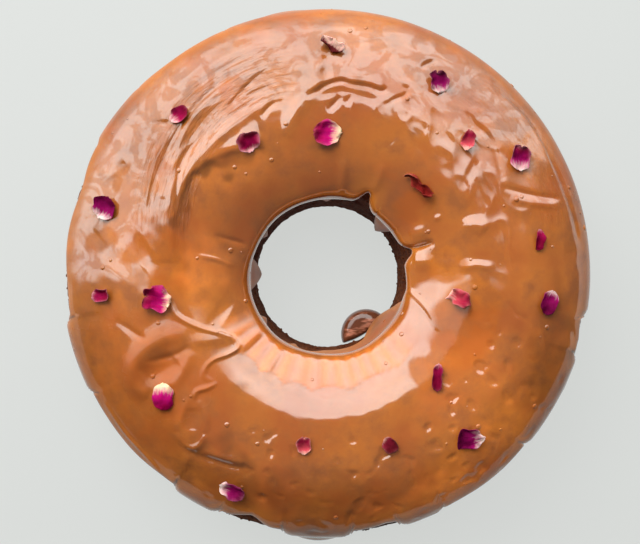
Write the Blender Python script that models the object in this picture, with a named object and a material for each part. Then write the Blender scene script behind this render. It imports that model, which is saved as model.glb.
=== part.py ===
"""Ring cake with poured icing and rose petals.

The sponge ring was baked in a ring tin and stands on its wide flat side. Icing lies over its crown as a
lobed sheet with tongues down the outside and into the hole, one drop of it has set on the ground inside
the hole, and rose petals lie on top. Metres, +Z up, origin in the middle of the base.
"""

import math

import bpy
import numpy as np
from mathutils import Vector
from mathutils.bvhtree import BVHTree

MM = 0.001
GAP = 0.3 * MM

# Sponge ring, as its half section
BASE_RADIUS = 122.5 * MM
FOOT_ROUNDING = 3.0 * MM
SHOULDER_RADIUS = 118.6 * MM
SHOULDER_HEIGHT = 38.0 * MM
CROWN_RADIUS = 75.0 * MM
CROWN_HEIGHT = 63.0 * MM
HOLE_BASE_RADIUS = 34.8 * MM
HOLE_TOP_RADIUS = 39.0 * MM
HOLE_TOP_HEIGHT = 42.0 * MM
SHOULDER_POWER = 2.3
HOLE_SHIFT = (0.8 * MM, -1.6 * MM)
CRUMB_BULGE = 2.2 * MM
BARE_ABOVE = 40.0 * MM
BARE_RUN = 8.0 * MM
WALL_SHARE = (0.21, 0.56)

# Icing sheet
CROWN_THICKNESS = 4.0 * MM
WALL_THICKNESS = 2.4 * MM
HEM_THICKNESS = 0.4 * MM
HEM_BEAD = 3.5 * MM
SWELL_START = 8.0 * MM
SWELL_RUN = 14.0 * MM
THINNING_RUN = (17.0 * MM, 51.0 * MM)
TONGUE_POWER = 2.8
SWELL_SPREAD = 1.15
SWELL_POWER = 1.3
STEEP_NORMAL = (0.2, 0.6)

# Mesh fineness
ANGLES = 120
COVERED_ROWS = (5, 5)
SHEET_ROWS = (6, 6)
WALL_ROWS = 1
EDGE_PULL = 2.6
CURVE_POINTS = 90

# Height in mm of the sheet's outer edge at rest between its tongues, by angle in degrees
OUTER_EDGE = (
    (10, 30), (22, 24), (36, 28), (50, 22), (64, 30), (76, 26), (86, 32), (113, 41), (126, 44),
    (134, 41), (152, 45), (161, 49), (172, 47), (184, 49), (208, 46), (220, 45), (232, 48), (247, 48),
    (253, 52), (258, 48), (277, 49), (284, 50), (298, 44), (310, 42), (319, 45), (328, 44), (344, 47), (349, 49),
)
# Outer tongues: angle, half width in degrees, height of the tip in mm, swell in mm
OUTER_TONGUES = (
    (359, 9, 18, 2.4), (99, 14, 8, 4.0), (143, 8, 24, 2.3), (198.5, 9, 6, 3.3), (240, 6, 12, 3.3),
    (268, 8, 5.5, 5.0), (291.5, 5.5, 20, 2.6), (323.5, 4.5, 13, 3.8), (334.5, 8, 7, 3.8),
)
# Height of the inner edge, and the drips that run down the hole
INNER_EDGE = (
    (10, 46), (17, 52), (24, 46), (33, 42), (57, 44), (64, 54), (72, 46), (86, 41), (98, 42), (108, 44),
    (125, 43), (138, 42), (157, 40), (162, 38), (196, 42), (206, 41), (224, 41), (236, 36), (252, 34),
    (268, 26), (284, 26), (298, 24), (338, 26), (345, 40), (352, 47),
)
INNER_TONGUES = (
    (44, 9, 12, 1.6), (91, 6, 34, 0.6), (146, 6, 27, 1.0), (178, 13, 9, 1.2), (214, 6, 30, 0.8),
    (244, 5, 30, 0.4), (318, 20, 8, 1.8),
)

# Spatula marks that are broad enough to be form: height in mm (minus is a groove), half width in mm,
# and the mark's path in mm
MARKS = (
    (1.6, 4.0, ((-70, 8), (-69, 26), (-66, 42), (-58, 53), (-46, 60), (-34, 63))),
    (-1.3, 3.2, ((-66, 6), (-65, 24), (-61, 38), (-54, 47), (-42, 53), (-29, 56))),
    (1.5, 3.6, ((-78, 24), (-73, 46), (-65, 62), (-53, 76), (-40, 86), (-26, 91))),
    (-1.0, 3.0, ((-82, 30), (-76, 50), (-67, 66), (-55, 80), (-42, 90), (-26, 95))),
    (1.2, 4.0, ((-86, 34), (-80, 55), (-69, 72), (-55, 86), (-38, 97), (-16, 103))),
    (-1.2, 3.0, ((-14, 76), (-4, 81), (6, 85), (16, 83), (27, 81))),
    (1.0, 3.6, ((-1, 98), (-4, 90), (-8, 82))),
    (2.8, 4.5, ((-61, -26), (-72, -28), (-81, -35), (-86, -43), (-84, -51), (-78, -55))),
    (-3.2, 5.0, ((-79, -47), (-73, -43), (-66, -38))),
    (1.3, 3.4, ((-60, -34), (-63, -43), (-68, -51))),
    (-1.6, 3.0, ((-96, -20), (-88, -25), (-80, -30))),
    (1.2, 3.0, ((-71, -7), (-67, -18), (-55, -25), (-41, -30), (-44, -36), (-54, -42), (-50, -48), (-58, -54))),
    (-1.2, 5.0, ((-50, -15), (-44, -18))),
    (1.4, 3.0, ((-66, -70), (-60, -77), (-54, -71))),
    (-1.6, 3.2, ((-66, -76), (-58, -82), (-46, -86), (-34, -87))),
    (1.2, 3.2, ((-56, -77), (-46, -80), (-36, -83))),
    (-2.2, 3.0, ((37, 11), (43, 12), (50, 14))),
    (1.0, 3.6, ((38, 17), (46, 20))),
    (1.0, 3.6, ((40, 5), (48, 6))),
    (-1.1, 6.0, ((-106, 13), (-100, 18))),
    (-1.1, 6.0, ((-85, 8), (-79, 12))),
    (-1.6, 4.0, ((-93, 46), (-90, 50))),
    (-1.0, 3.2, ((64, 75), (70, 64), (76, 52), (78, 41))),
)

# Drop of icing set on the ground inside the hole
DROP_CENTRE = (20.2 * MM, -30.3 * MM)
DROP_RADIUS = 12.5 * MM
DROP_PEAK = (16.6 * MM, -25.2 * MM)
DROP_HEIGHT = 4.6 * MM
DROP_SPOKES = 24
DROP_RINGS = (1.0, 0.97, 0.88, 0.7, 0.4)
WALL_CLEARANCE = 0.5 * MM

# Petals: middle in mm, direction of the tip in degrees, length and width in mm, how far the sides roll up
# and the length bends up in degrees (minus is down), ruffle in mm, tilt of the tip in degrees
PETALS = (
    ((2.9, 102.3), 240, 7.4, 11.6, 45, 120, 0.6, 10),
    ((50.3, 85.1), 95, 10.2, 10.2, 80, 50, 1.0, 16),
    ((-65.7, 70.9), 40, 8.8, 7.8, 75, 35, 0.4, 8),
    ((-34.5, 58.0), 118, 9.0, 12.2, 85, 30, 0.5, 16),
    ((0.6, 62.4), 182, 12.2, 13.2, 85, 45, 0.6, 8),
    ((62.8, 59.1), 80, 9.4, 7.4, 95, 50, 0.6, 8),
    ((86.3, 51.3), 85, 11.6, 10.6, 90, 60, 1.1, 12),
    ((40.8, 38.9), -48, 14.0, 5.6, 180, 60, 0.9, 4),
    ((-99.2, 29.2), 60, 9.8, 12.2, 65, 40, 0.5, 12),
    ((95.3, 15.0), -95, 9.2, 6.2, 160, 20, 0.3, 4),
    ((-100.8, -9.8), 10, 8.2, 7.0, 100, 30, 0.5, 6),
    ((-75.0, -11.4), 170, 12.6, 13.0, 80, 50, 1.4, 8),
    ((58.3, -11.0), -30, 10.8, 8.6, 110, 50, 1.2, 8),
    ((99.4, -13.0), -112, 10.8, 9.2, 95, 40, 0.5, 6),
    ((-72.6, -54.6), -92, 11.8, 11.2, -95, -50, 0.4, 0),
    ((49.1, -46.1), -92, 12.0, 6.2, 150, 25, 0.4, 4),
    ((-10.1, -76.4), 88, 7.6, 7.6, 80, 35, 0.4, 8),
    ((28.3, -76.1), -45, 7.6, 7.4, 105, 40, 0.4, 6),
    ((64.4, -73.5), 185, 12.6, 10.4, 85, 60, 1.0, 8),
    ((-42.2, -97.4), -20, 11.6, 9.2, 100, 45, 0.6, 8),
)
PETAL_THICKNESS = 0.55 * MM
PETAL_GAP = 0.42 * MM
PETAL_END_WIDTH = 0.3
PETAL_COLUMNS = 4
PETAL_LENGTHS = 5

SPONGE_COLOUR = (0.062, 0.012, 0.005)
ICING_COLOUR = (0.462, 0.137, 0.040)
DROP_COLOUR = (0.158, 0.038, 0.012)
PETAL_COLOUR = (0.30, 0.012, 0.090)


def clear_scene():
    """Remove every object that the file holds."""
    for obj in list(bpy.data.objects):
        bpy.data.objects.remove(obj, do_unlink=True)


def make_material(name, colour, roughness):
    """A Principled material of one colour."""
    material = bpy.data.materials.new(name)
    material.use_nodes = True
    shader = material.node_tree.nodes["Principled BSDF"]
    shader.inputs["Base Color"].default_value = (*colour, 1.0)
    shader.inputs["Roughness"].default_value = roughness
    shader.inputs["Metallic"].default_value = 0.0
    return material


def add_solid(name, points, faces, material):
    """A smooth-shaded object from points and faces."""
    mesh = bpy.data.meshes.new(name)
    mesh.from_pydata([tuple(point) for point in points], [], faces)
    mesh.materials.append(material)
    mesh.shade_smooth()
    mesh.set_sharp_from_angle(angle=math.radians(50))
    obj = bpy.data.objects.new(name, mesh)
    bpy.context.scene.collection.objects.link(obj)
    return obj


def smooth(value, start=0.0, end=1.0):
    """Zero at the start and one at the end, level at both."""
    share = np.clip((value - start) / (end - start), 0.0, 1.0)
    return share * share * (3.0 - 2.0 * share)


def shoulder(from_radius, from_height):
    """Quarter superellipse from the top of a wall up to the crown."""
    turn = np.linspace(0.0, math.pi / 2, CURVE_POINTS)
    across = np.abs(np.cos(turn)) ** (2.0 / SHOULDER_POWER)
    rise = np.abs(np.sin(turn)) ** (2.0 / SHOULDER_POWER)
    radius = CROWN_RADIUS + (from_radius - CROWN_RADIUS) * across
    height = from_height + (CROWN_HEIGHT - from_height) * rise
    return radius, height


def foot(wall_radius, outward):
    """Rounded foot of a wall, from the ground up."""
    turn = np.linspace(0.0, math.pi / 2, 5)
    radius = wall_radius - outward * FOOT_ROUNDING * (1.0 - np.sin(turn))
    height = FOOT_ROUNDING * (1.0 - np.cos(turn))
    return radius, height


def half_section():
    """Radius, height and outward normal of the sponge by run from the crown, minus towards the hole."""
    inner_foot = foot(HOLE_BASE_RADIUS, -1.0)
    outer_foot = foot(BASE_RADIUS, 1.0)
    inner = shoulder(HOLE_TOP_RADIUS, HOLE_TOP_HEIGHT)
    outer = shoulder(SHOULDER_RADIUS, SHOULDER_HEIGHT)
    radius = np.concatenate([inner_foot[0], inner[0], outer[0][-2::-1], outer_foot[0][::-1]])
    height = np.concatenate([inner_foot[1], inner[1], outer[1][-2::-1], outer_foot[1][::-1]])
    step = np.hypot(np.diff(radius), np.diff(height))
    run = np.concatenate([[0.0], np.cumsum(step)])
    along_r = np.gradient(radius, run)
    along_z = np.gradient(height, run)
    length = np.hypot(along_r, along_z)
    run -= run[np.argmax(height)]
    return run, radius, height, -along_z / length, along_r / length


RUN, RADIUS, HEIGHT, NORMAL_R, NORMAL_Z = half_section()
CROWN_INDEX = int(np.argmax(HEIGHT))


def run_at_height(height, outside):
    """Run at which the section passes a height, outside or in the hole."""
    if outside:
        return np.interp(-height, -HEIGHT[CROWN_INDEX:], RUN[CROWN_INDEX:])
    return np.interp(height, HEIGHT[:CROWN_INDEX + 1], RUN[:CROWN_INDEX + 1])


USUAL_OUTER = run_at_height(SHOULDER_HEIGHT + 4.0 * MM, True)
USUAL_INNER = run_at_height(HOLE_TOP_HEIGHT - 2.0 * MM, False)


def around(angle, table):
    """Value at an angle of a closed table of angle and value, with level ends at each entry."""
    angles = np.array([entry[0] for entry in table], dtype=float)
    values = np.array([entry[1] for entry in table], dtype=float)
    angles = np.concatenate([angles[-1:] - 360.0, angles, angles[:1] + 360.0])
    values = np.concatenate([values[-1:], values, values[:1]])
    angle = (angle - angles[0]) % 360.0 + angles[0]
    place = np.clip(np.searchsorted(angles, angle, side="right") - 1, 0, len(angles) - 2)
    share = (angle - angles[place]) / (angles[place + 1] - angles[place])
    return values[place] + (values[place + 1] - values[place]) * smooth(share)


def edge_height(angle, edge, tongues):
    """Height of the sheet's edge, with its tongues."""
    height = around(angle, edge)
    for middle, half_width, tip, _ in tongues:
        offset = np.abs((angle - middle + 180.0) % 360.0 - 180.0) / half_width
        low = tip + (height - tip) * np.clip(offset, 0.0, 1.0) ** TONGUE_POWER
        height = np.where(offset < 1.0, np.minimum(height, low), height)
    return height * MM


def swell(angle, tongues):
    """How far the tongues stand proud at an angle."""
    total = 0.0 * angle
    for middle, half_width, _, proud in tongues:
        offset = np.abs((angle - middle + 180.0) % 360.0 - 180.0) / (SWELL_SPREAD * half_width)
        hump = np.cos(0.5 * math.pi * np.clip(offset, 0.0, 1.0)) ** SWELL_POWER
        total = np.maximum(total, proud * hump)
    return total * MM


def bareness(angle):
    """One where the sponge's wall shows bare under the sheet's outer edge."""
    return smooth(edge_height(angle, OUTER_EDGE, OUTER_TONGUES), BARE_ABOVE, BARE_ABOVE + BARE_RUN)


def sponge_point(angle, run, lift):
    """Point of the sponge's surface at an angle and run, lifted along its normal."""
    radius = np.interp(run, RUN, RADIUS)
    height = np.interp(run, RUN, HEIGHT)
    normal_r = np.interp(run, RUN, NORMAL_R)
    normal_z = np.interp(run, RUN, NORMAL_Z)
    wall = smooth(run / RUN[-1], *WALL_SHARE) * smooth(height, FOOT_ROUNDING, 3 * FOOT_ROUNDING)
    lift = lift + CRUMB_BULGE * bareness(angle) * wall
    radius = radius + lift * normal_r
    height = height + lift * normal_z
    shift = smooth(radius, CROWN_RADIUS, HOLE_TOP_RADIUS)
    turn = np.radians(angle)
    x = radius * np.cos(turn) + HOLE_SHIFT[0] * shift
    y = radius * np.sin(turn) + HOLE_SHIFT[1] * shift
    return np.stack([x, y, height], axis=-1)


def mark_path(points):
    """A mark's path in metres, rounded through its points."""
    path = np.array(points, dtype=float) * MM
    if len(path) < 3:
        return path
    knots = np.arange(len(path))
    fine = np.linspace(0, len(path) - 1, 4 * len(path))
    slopes = np.gradient(path, axis=0)
    place = np.clip(fine.astype(int), 0, len(path) - 2)
    share = (fine - knots[place])[:, None]
    start, end = path[place], path[place + 1]
    leave, arrive = slopes[place], slopes[place + 1]
    return (
        (2 * share ** 3 - 3 * share ** 2 + 1) * start
        + (share ** 3 - 2 * share ** 2 + share) * leave
        + (3 * share ** 2 - 2 * share ** 3) * end
        + (share ** 3 - share ** 2) * arrive
    )


def relief(place):
    """Height of the spatula marks at points seen from above."""
    total = np.zeros(len(place))
    for height, half_width, points in MARKS:
        path = mark_path(points)
        best = np.full(len(place), 1.0)
        part = np.zeros(len(place))
        for index in range(len(path) - 1):
            start = path[index]
            span = path[index + 1] - start
            share = np.clip(((place - start) @ span) / (span @ span), 0.0, 1.0)
            away = np.linalg.norm(place - start - share[:, None] * span, axis=1)
            nearer = away < best
            best = np.where(nearer, away, best)
            part = np.where(nearer, (index + share) / (len(path) - 1), part)
        taper = 0.25 + 0.75 * np.sin(math.pi * part) ** 0.5
        total += height * MM * taper * np.exp(-(best / (half_width * MM)) ** 2)
    return total


def sheet_points(angle, runs, first, last):
    """Upper face of the icing at one angle, from its inner to its outer edge."""
    thickness = CROWN_THICKNESS + (WALL_THICKNESS - CROWN_THICKNESS) * smooth(np.abs(runs), *THINNING_RUN)
    outer_start = run_at_height(SHOULDER_HEIGHT, True) - SWELL_START
    inner_start = run_at_height(HOLE_TOP_HEIGHT, False) + SWELL_START
    thickness += swell(angle, OUTER_TONGUES) * smooth(runs, outer_start, outer_start + SWELL_RUN)
    thickness += swell(angle, INNER_TONGUES) * smooth(runs, inner_start, inner_start - SWELL_RUN)
    flat = smooth(np.interp(runs, RUN, NORMAL_Z), *STEEP_NORMAL)
    place = sponge_point(angle, runs, thickness)[:, :2]
    thickness += relief(place) * flat
    from_edge = np.minimum(runs - first, last - runs)
    bead = HEM_BEAD + 0.3 * thickness
    rounding = np.sqrt(1.0 - (1.0 - np.clip(from_edge / bead, 0.0, 1.0)) ** 2)
    return sponge_point(angle, runs, GAP + HEM_THICKNESS + (thickness - HEM_THICKNESS) * rounding)


def rows_between(first, last, inner_count, outer_count):
    """Runs from one edge over the crown to the other, level on the crown and pulled along near the edges."""
    runs = []
    for edge, usual, count in ((first, USUAL_INNER, inner_count), (last, USUAL_OUTER, outer_count)):
        share = np.linspace(0.0, 1.0, count + 1)
        runs.append(share * usual + (edge - usual) * share ** EDGE_PULL)
    return np.concatenate([runs[0][:0:-1], runs[1]])


def ring_faces(angles, rows, rising):
    """Triangles of a ring of closed cross-section loops, split so that facing solids fold alike."""
    faces = []
    for turn in range(angles):
        here = turn * rows
        there = (turn + 1) % angles * rows
        for row in range(rows):
            after = (row + 1) % rows
            corners = (here + row, there + row, there + after, here + after)
            if rising:
                faces += [(corners[0], corners[1], corners[2]), (corners[0], corners[2], corners[3])]
            else:
                faces += [(corners[0], corners[1], corners[3]), (corners[1], corners[2], corners[3])]
    return faces


def build_sponge_and_sheet(sponge_material, icing_material):
    """The sponge ring and the icing sheet on it, which share the rows along their common face."""
    sponge_loops = []
    icing_loops = []
    foot_run = run_at_height(FOOT_ROUNDING, True)
    hole_foot_run = run_at_height(FOOT_ROUNDING, False)
    edge_rows = np.array([0.0, 0.2, 0.5, 1.0]) * HEM_BEAD
    for turn in range(ANGLES):
        angle = np.float64(turn * 360.0 / ANGLES)
        first = run_at_height(edge_height(angle, INNER_EDGE, INNER_TONGUES), False)
        last = run_at_height(edge_height(angle, OUTER_EDGE, OUTER_TONGUES), True)
        shared = rows_between(first, last, *COVERED_ROWS)
        in_wall = np.linspace(hole_foot_run, first, WALL_ROWS + 1, endpoint=False)
        out_wall = np.linspace(foot_run, last, WALL_ROWS + 1, endpoint=False)[::-1]
        in_foot = np.linspace(RUN[0], hole_foot_run, 3)[:2]
        out_foot = np.linspace(foot_run, RUN[-1], 3)[1:]
        runs = np.concatenate([in_foot, in_wall, shared, out_wall, out_foot])
        sponge_loops.append(sponge_point(angle, runs, 0.0)[::-1])
        middle = rows_between(first + edge_rows[-1], last - edge_rows[-1], *SHEET_ROWS)[1:-1]
        upper = np.concatenate([first + edge_rows, middle, (last - edge_rows)[::-1]])
        over = sheet_points(angle, upper, first, last)
        under = sponge_point(angle, shared, GAP)
        icing_loops.append(np.concatenate([over[::-1], under]))
    sponge_rows = len(sponge_loops[0])
    icing_rows = len(icing_loops[0])
    sponge = add_solid(
        "sponge", np.concatenate(sponge_loops), ring_faces(ANGLES, sponge_rows, False), sponge_material)
    icing = add_solid(
        "icing", np.concatenate(icing_loops), ring_faces(ANGLES, icing_rows, True), icing_material)
    return sponge, icing


def way_to_circle(place, way, middle, radius):
    """Distance from a place inside a circle to the circle, along a way."""
    offset = place - np.array(middle)
    along = offset @ way
    return math.sqrt(along ** 2 + radius ** 2 - offset @ offset) - along


def build_drop(material):
    """Flat round drop on the ground, cut short where it meets the sponge's wall."""
    centre = np.array(DROP_PEAK)
    wall_radius = HOLE_BASE_RADIUS - WALL_CLEARANCE
    rings = []
    for share in DROP_RINGS:
        ring = []
        for spoke in range(DROP_SPOKES):
            turn = 2.0 * math.pi * spoke / DROP_SPOKES
            way = np.array([math.cos(turn), math.sin(turn)])
            reach = min(
                way_to_circle(centre, way, DROP_CENTRE, DROP_RADIUS),
                way_to_circle(centre, way, HOLE_SHIFT, wall_radius),
            )
            place = centre + way * reach * share
            ring.append((place[0], place[1], DROP_HEIGHT * (1.0 - share ** 4) ** 0.5))
        rings.append(ring)
    points = [point for ring in rings for point in ring]
    faces = []
    for level in range(len(rings) - 1):
        for spoke in range(DROP_SPOKES):
            after = (spoke + 1) % DROP_SPOKES
            low = level * DROP_SPOKES
            high = low + DROP_SPOKES
            faces.append((low + spoke, low + after, high + after, high + spoke))
    top = len(points)
    points.append((centre[0], centre[1], DROP_HEIGHT))
    points.append((centre[0], centre[1], 0.0))
    last_ring = (len(rings) - 1) * DROP_SPOKES
    for spoke in range(DROP_SPOKES):
        after = (spoke + 1) % DROP_SPOKES
        faces.append((last_ring + spoke, last_ring + after, top))
        faces.append((after, spoke, top + 1))
    return add_solid("icing_drop", points, faces, material)


def petal_sheet(length, width, roll, bend, ruffle, phase):
    """Middle face of a petal in its own frame: base at minus y, tip at plus y, cupped upwards."""
    across = np.linspace(-1.0, 1.0, PETAL_COLUMNS + 1)
    along = np.linspace(0.0, 1.0, PETAL_LENGTHS + 1)
    u, v = np.meshgrid(across, along)
    round_end = np.clip(1.0 - np.abs(2.0 * v ** 1.12 - 1.0) ** 2.5, 0.0, 1.0)
    side = u * (PETAL_END_WIDTH + (1.0 - PETAL_END_WIDTH) * round_end ** 0.45) * width * 0.5
    roll_radius = width / math.radians(roll)
    bend_radius = length / math.radians(bend)
    reach = (v - 0.5 + 0.06 * (1.0 - u * u) * (v - 0.5)) * length
    x = roll_radius * np.sin(side / roll_radius)
    z = roll_radius * (1.0 - np.cos(side / roll_radius))
    y = bend_radius * np.sin(reach / bend_radius)
    z = z + bend_radius * (1.0 - np.cos(reach / bend_radius))
    edge = np.maximum(np.abs(u), v) ** 3
    z = z + ruffle * edge * np.sin(4.2 * u + 3.0 * v + phase)
    return np.stack([x, y, z], axis=-1)


def sheet_normals(sheet):
    """Unit normals of a gridded sheet."""
    along_u = np.gradient(sheet, axis=1)
    along_v = np.gradient(sheet, axis=0)
    normals = np.cross(along_u, along_v)
    return normals / np.linalg.norm(normals, axis=-1, keepdims=True)


def petal_faces(rows, columns):
    """Both faces and the rim of a gridded sheet with a thickness."""
    count = rows * columns
    faces = []
    for row in range(rows - 1):
        for column in range(columns - 1):
            a = row * columns + column
            b, c, d = a + 1, a + columns + 1, a + columns
            faces += [(a, b, c), (a, c, d)]
            faces += [(count + a, count + c, count + b), (count + a, count + d, count + c)]
    rim = [column for column in range(columns)]
    rim += [row * columns + columns - 1 for row in range(1, rows)]
    rim += [(rows - 1) * columns + column for column in range(columns - 2, -1, -1)]
    rim += [row * columns for row in range(rows - 2, 0, -1)]
    for index, here in enumerate(rim):
        there = rim[(index + 1) % len(rim)]
        faces += [(here, count + here, count + there), (here, count + there, there)]
    return faces


def settle(points, faces, ground):
    """Lift that brings a petal's lowest place just clear of what lies under it."""
    samples = [Vector(point) for point in points]
    samples += [sum((samples[index] for index in face), Vector()) / len(face) for face in faces]
    lift = -1.0
    for sample in samples:
        hit = ground.ray_cast(Vector((sample.x, sample.y, 1.0)), Vector((0.0, 0.0, -1.0)))[0]
        lift = max(lift, hit.z + PETAL_GAP - sample.z)
    return lift


def build_petals(icing, material_for):
    """Every petal, laid along the icing under it."""
    mesh = icing.data
    ground = BVHTree.FromPolygons(
        [vertex.co for vertex in mesh.vertices], [tuple(face.vertices) for face in mesh.polygons])
    for number, (place, heading, length, width, roll, bend, ruffle, tilt) in enumerate(PETALS, 1):
        sheet = petal_sheet(length * MM, width * MM, roll, bend, ruffle * MM, number * 1.7)
        normals = sheet_normals(sheet)
        half = 0.5 * PETAL_THICKNESS
        points = np.concatenate([(sheet + half * normals).reshape(-1, 3), (sheet - half * normals).reshape(-1, 3)])
        x, y = place[0] * MM, place[1] * MM
        hit, slope = ground.ray_cast(Vector((x, y, 1.0)), Vector((0.0, 0.0, -1.0)))[:2]
        up = (slope + Vector((0.0, 0.0, 0.6))).normalized()
        tip = Vector((math.cos(math.radians(heading)), math.sin(math.radians(heading)), 0.0))
        tip = (tip - tip.dot(up) * up).normalized()
        tip, up = (
            tip * math.cos(math.radians(tilt)) + up * math.sin(math.radians(tilt)),
            up * math.cos(math.radians(tilt)) - tip * math.sin(math.radians(tilt)),
        )
        right = tip.cross(up)
        frame = np.array([right, tip, up])
        points = points @ frame + np.array(hit)
        points[:, :2] += np.array((x, y)) - 0.5 * (points[:, :2].min(0) + points[:, :2].max(0))
        faces = petal_faces(PETAL_LENGTHS + 1, PETAL_COLUMNS + 1)
        points[:, 2] += settle(points, faces, ground)
        name = f"petal_{number:02d}"
        add_solid(name, points, faces, material_for(name))


def main():
    """Build the cake."""
    clear_scene()
    sponge_material = make_material("sponge", SPONGE_COLOUR, 0.9)
    icing_material = make_material("icing", ICING_COLOUR, 0.15)
    icing = build_sponge_and_sheet(sponge_material, icing_material)[1]
    build_drop(make_material("icing_drop", DROP_COLOUR, 0.1))
    build_petals(icing, lambda name: make_material(name, PETAL_COLOUR, 0.5))


main()
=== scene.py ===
"""Ring cake with poured icing and rose petals: its finished surfaces, laid over the solid model."""

import math

import bpy
import numpy as np
from bpy.props import FloatProperty, FloatVectorProperty, IntProperty, PointerProperty
from bpy.types import Operator, Panel, PropertyGroup
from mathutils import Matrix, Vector, noise
from mathutils.bvhtree import BVHTree


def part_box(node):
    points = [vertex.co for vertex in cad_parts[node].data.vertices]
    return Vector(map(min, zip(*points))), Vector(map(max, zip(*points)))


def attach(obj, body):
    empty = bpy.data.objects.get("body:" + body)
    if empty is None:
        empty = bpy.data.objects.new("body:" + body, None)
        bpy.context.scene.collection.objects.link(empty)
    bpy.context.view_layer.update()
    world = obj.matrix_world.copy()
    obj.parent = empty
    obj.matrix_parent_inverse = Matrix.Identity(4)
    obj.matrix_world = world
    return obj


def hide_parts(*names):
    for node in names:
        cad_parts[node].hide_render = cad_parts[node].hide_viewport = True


bl_info = {
    "name": "Ring cake",
    "version": (1, 0, 0),
    "blender": (4, 5, 0),
    "location": "View3D > Sidebar > Cake",
    "description": "Builds a chocolate ring cake with poured icing and rose petals",
    "category": "Object",
}

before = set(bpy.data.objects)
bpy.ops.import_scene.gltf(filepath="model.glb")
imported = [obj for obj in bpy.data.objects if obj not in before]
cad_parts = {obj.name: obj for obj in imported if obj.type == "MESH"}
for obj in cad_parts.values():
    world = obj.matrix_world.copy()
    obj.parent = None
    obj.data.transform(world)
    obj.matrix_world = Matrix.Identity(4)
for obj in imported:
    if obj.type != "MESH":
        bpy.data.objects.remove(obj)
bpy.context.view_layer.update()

MM = 0.001
FULL_TURN = 360.0

# Height in mm of the sheet's outer edge at rest between its tongues, by angle in degrees
OUTER_EDGE = (
    (10, 30), (22, 24), (36, 28), (50, 22), (64, 30), (76, 26), (86, 32), (113, 41), (126, 44),
    (134, 41), (152, 45), (161, 49), (172, 47), (184, 49), (208, 46), (220, 45), (232, 48), (247, 48),
    (253, 52), (258, 48), (277, 49), (284, 50), (298, 44), (310, 42), (319, 45), (328, 44), (344, 47),
    (349, 49),
)
# Outer tongues: angle, half width in degrees, height of the tip in mm, swell in mm
OUTER_TONGUES = (
    (359, 9, 18, 2.4), (99, 14, 8, 4.0), (143, 8, 24, 2.3), (198.5, 9, 6, 3.3), (240, 6, 12, 3.3),
    (268, 8, 5.5, 5.0), (291.5, 5.5, 20, 2.6), (323.5, 4.5, 13, 3.8), (334.5, 8, 7, 3.8),
)
# The same for the inner edge and the drips that run down the hole
INNER_EDGE = (
    (10, 46), (17, 52), (24, 46), (33, 42), (57, 44), (64, 54), (72, 46), (86, 41), (98, 42), (108, 44),
    (125, 43), (138, 42), (157, 40), (162, 38), (196, 42), (206, 41), (224, 41), (236, 36), (252, 34),
    (268, 26), (284, 26), (298, 24), (338, 26), (345, 40), (352, 47),
)
INNER_TONGUES = (
    (44, 9, 12, 1.6), (91, 6, 34, 0.6), (146, 6, 27, 1.0), (178, 13, 9, 1.2), (214, 6, 30, 0.8),
    (244, 5, 30, 0.4), (318, 20, 8, 1.8),
)
# How square a tongue's tip is, how far its swell reaches past its half width, and how steeply that fades
TONGUE_POWER = 2.8
SWELL_SPREAD = 1.4
SWELL_POWER = 1.9
# How much only the rows near an edge follow its tongues
EDGE_PULL = 2.6
# Heights of the edge between which the bare wall starts to stand out
BARE_EDGE = (40.0 * MM, 48.0 * MM)
# Rows of the rounded hem, as shares of its width
HEM_ROWS = (0.0, 0.06, 0.16, 0.3, 0.5, 0.75, 1.0)
# The tongues swell from this far above the shoulder, over this run, blended this softly with the fill
SWELL_LEAD = 8.0 * MM
SWELL_RUN = 14.0 * MM
SWELL_BLEND = 1.1 * MM
# Runs between which the sheet thins, and the height and half width of the bead at the hole's lip
THINNING_RUNS = (17.0 * MM, 51.0 * MM)
LIP_HEIGHT = 51.0 * MM
LIP_SPREAD = 4.6 * MM

# Spatula marks in the icing: form, height in mm, half width in mm, path in mm seen from above.
# A step stands higher on the left of its path.
BUNDLE_MARKS = (
    ("step", 2.3, 0.9, ((-66.4, 5), (-66.4, 19.5), (-65, 33), (-61, 42), (-54, 48), (-44, 53),
                        (-28.7, 57))),
    ("groove", 1.2, 1.1, ((-66.8, 8), (-66.8, 25), (-65.5, 44), (-62.8, 52), (-58.3, 57.4), (-51, 65.5))),
    ("groove", 1.1, 1.0, ((-44, 73.6), (-41, 77), (-37, 81.3), (-32.5, 86), (-27, 90), (-20.5, 92))),
    ("ridge", 0.9, 2.5, ((-64, 28), (-61, 45.6), (-53.5, 55.5), (-44, 63.6), (-34, 71), (-24, 76))),
    ("groove", 0.9, 1.2, ((-79, 28), (-76, 42), (-70, 55.5), (-63, 68), (-55, 78), (-45, 87), (-34, 93),
                          (-26, 96))),
    ("ridge", 1.1, 2.2, ((-72.4, 33), (-70, 46.5), (-65.6, 57.7), (-59, 70), (-50, 79.3), (-38.7, 87),
                         (-30, 92))),
    ("ridge", 0.9, 2.5, ((-74, 68), (-66, 78), (-56.7, 88), (-45.4, 96), (-31.8, 101), (-18, 103))),
    ("groove", 0.6, 0.9, ((-58, 75), (-54, 79), (-47, 84), (-38.7, 89.5), (-30, 94))),
)
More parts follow.
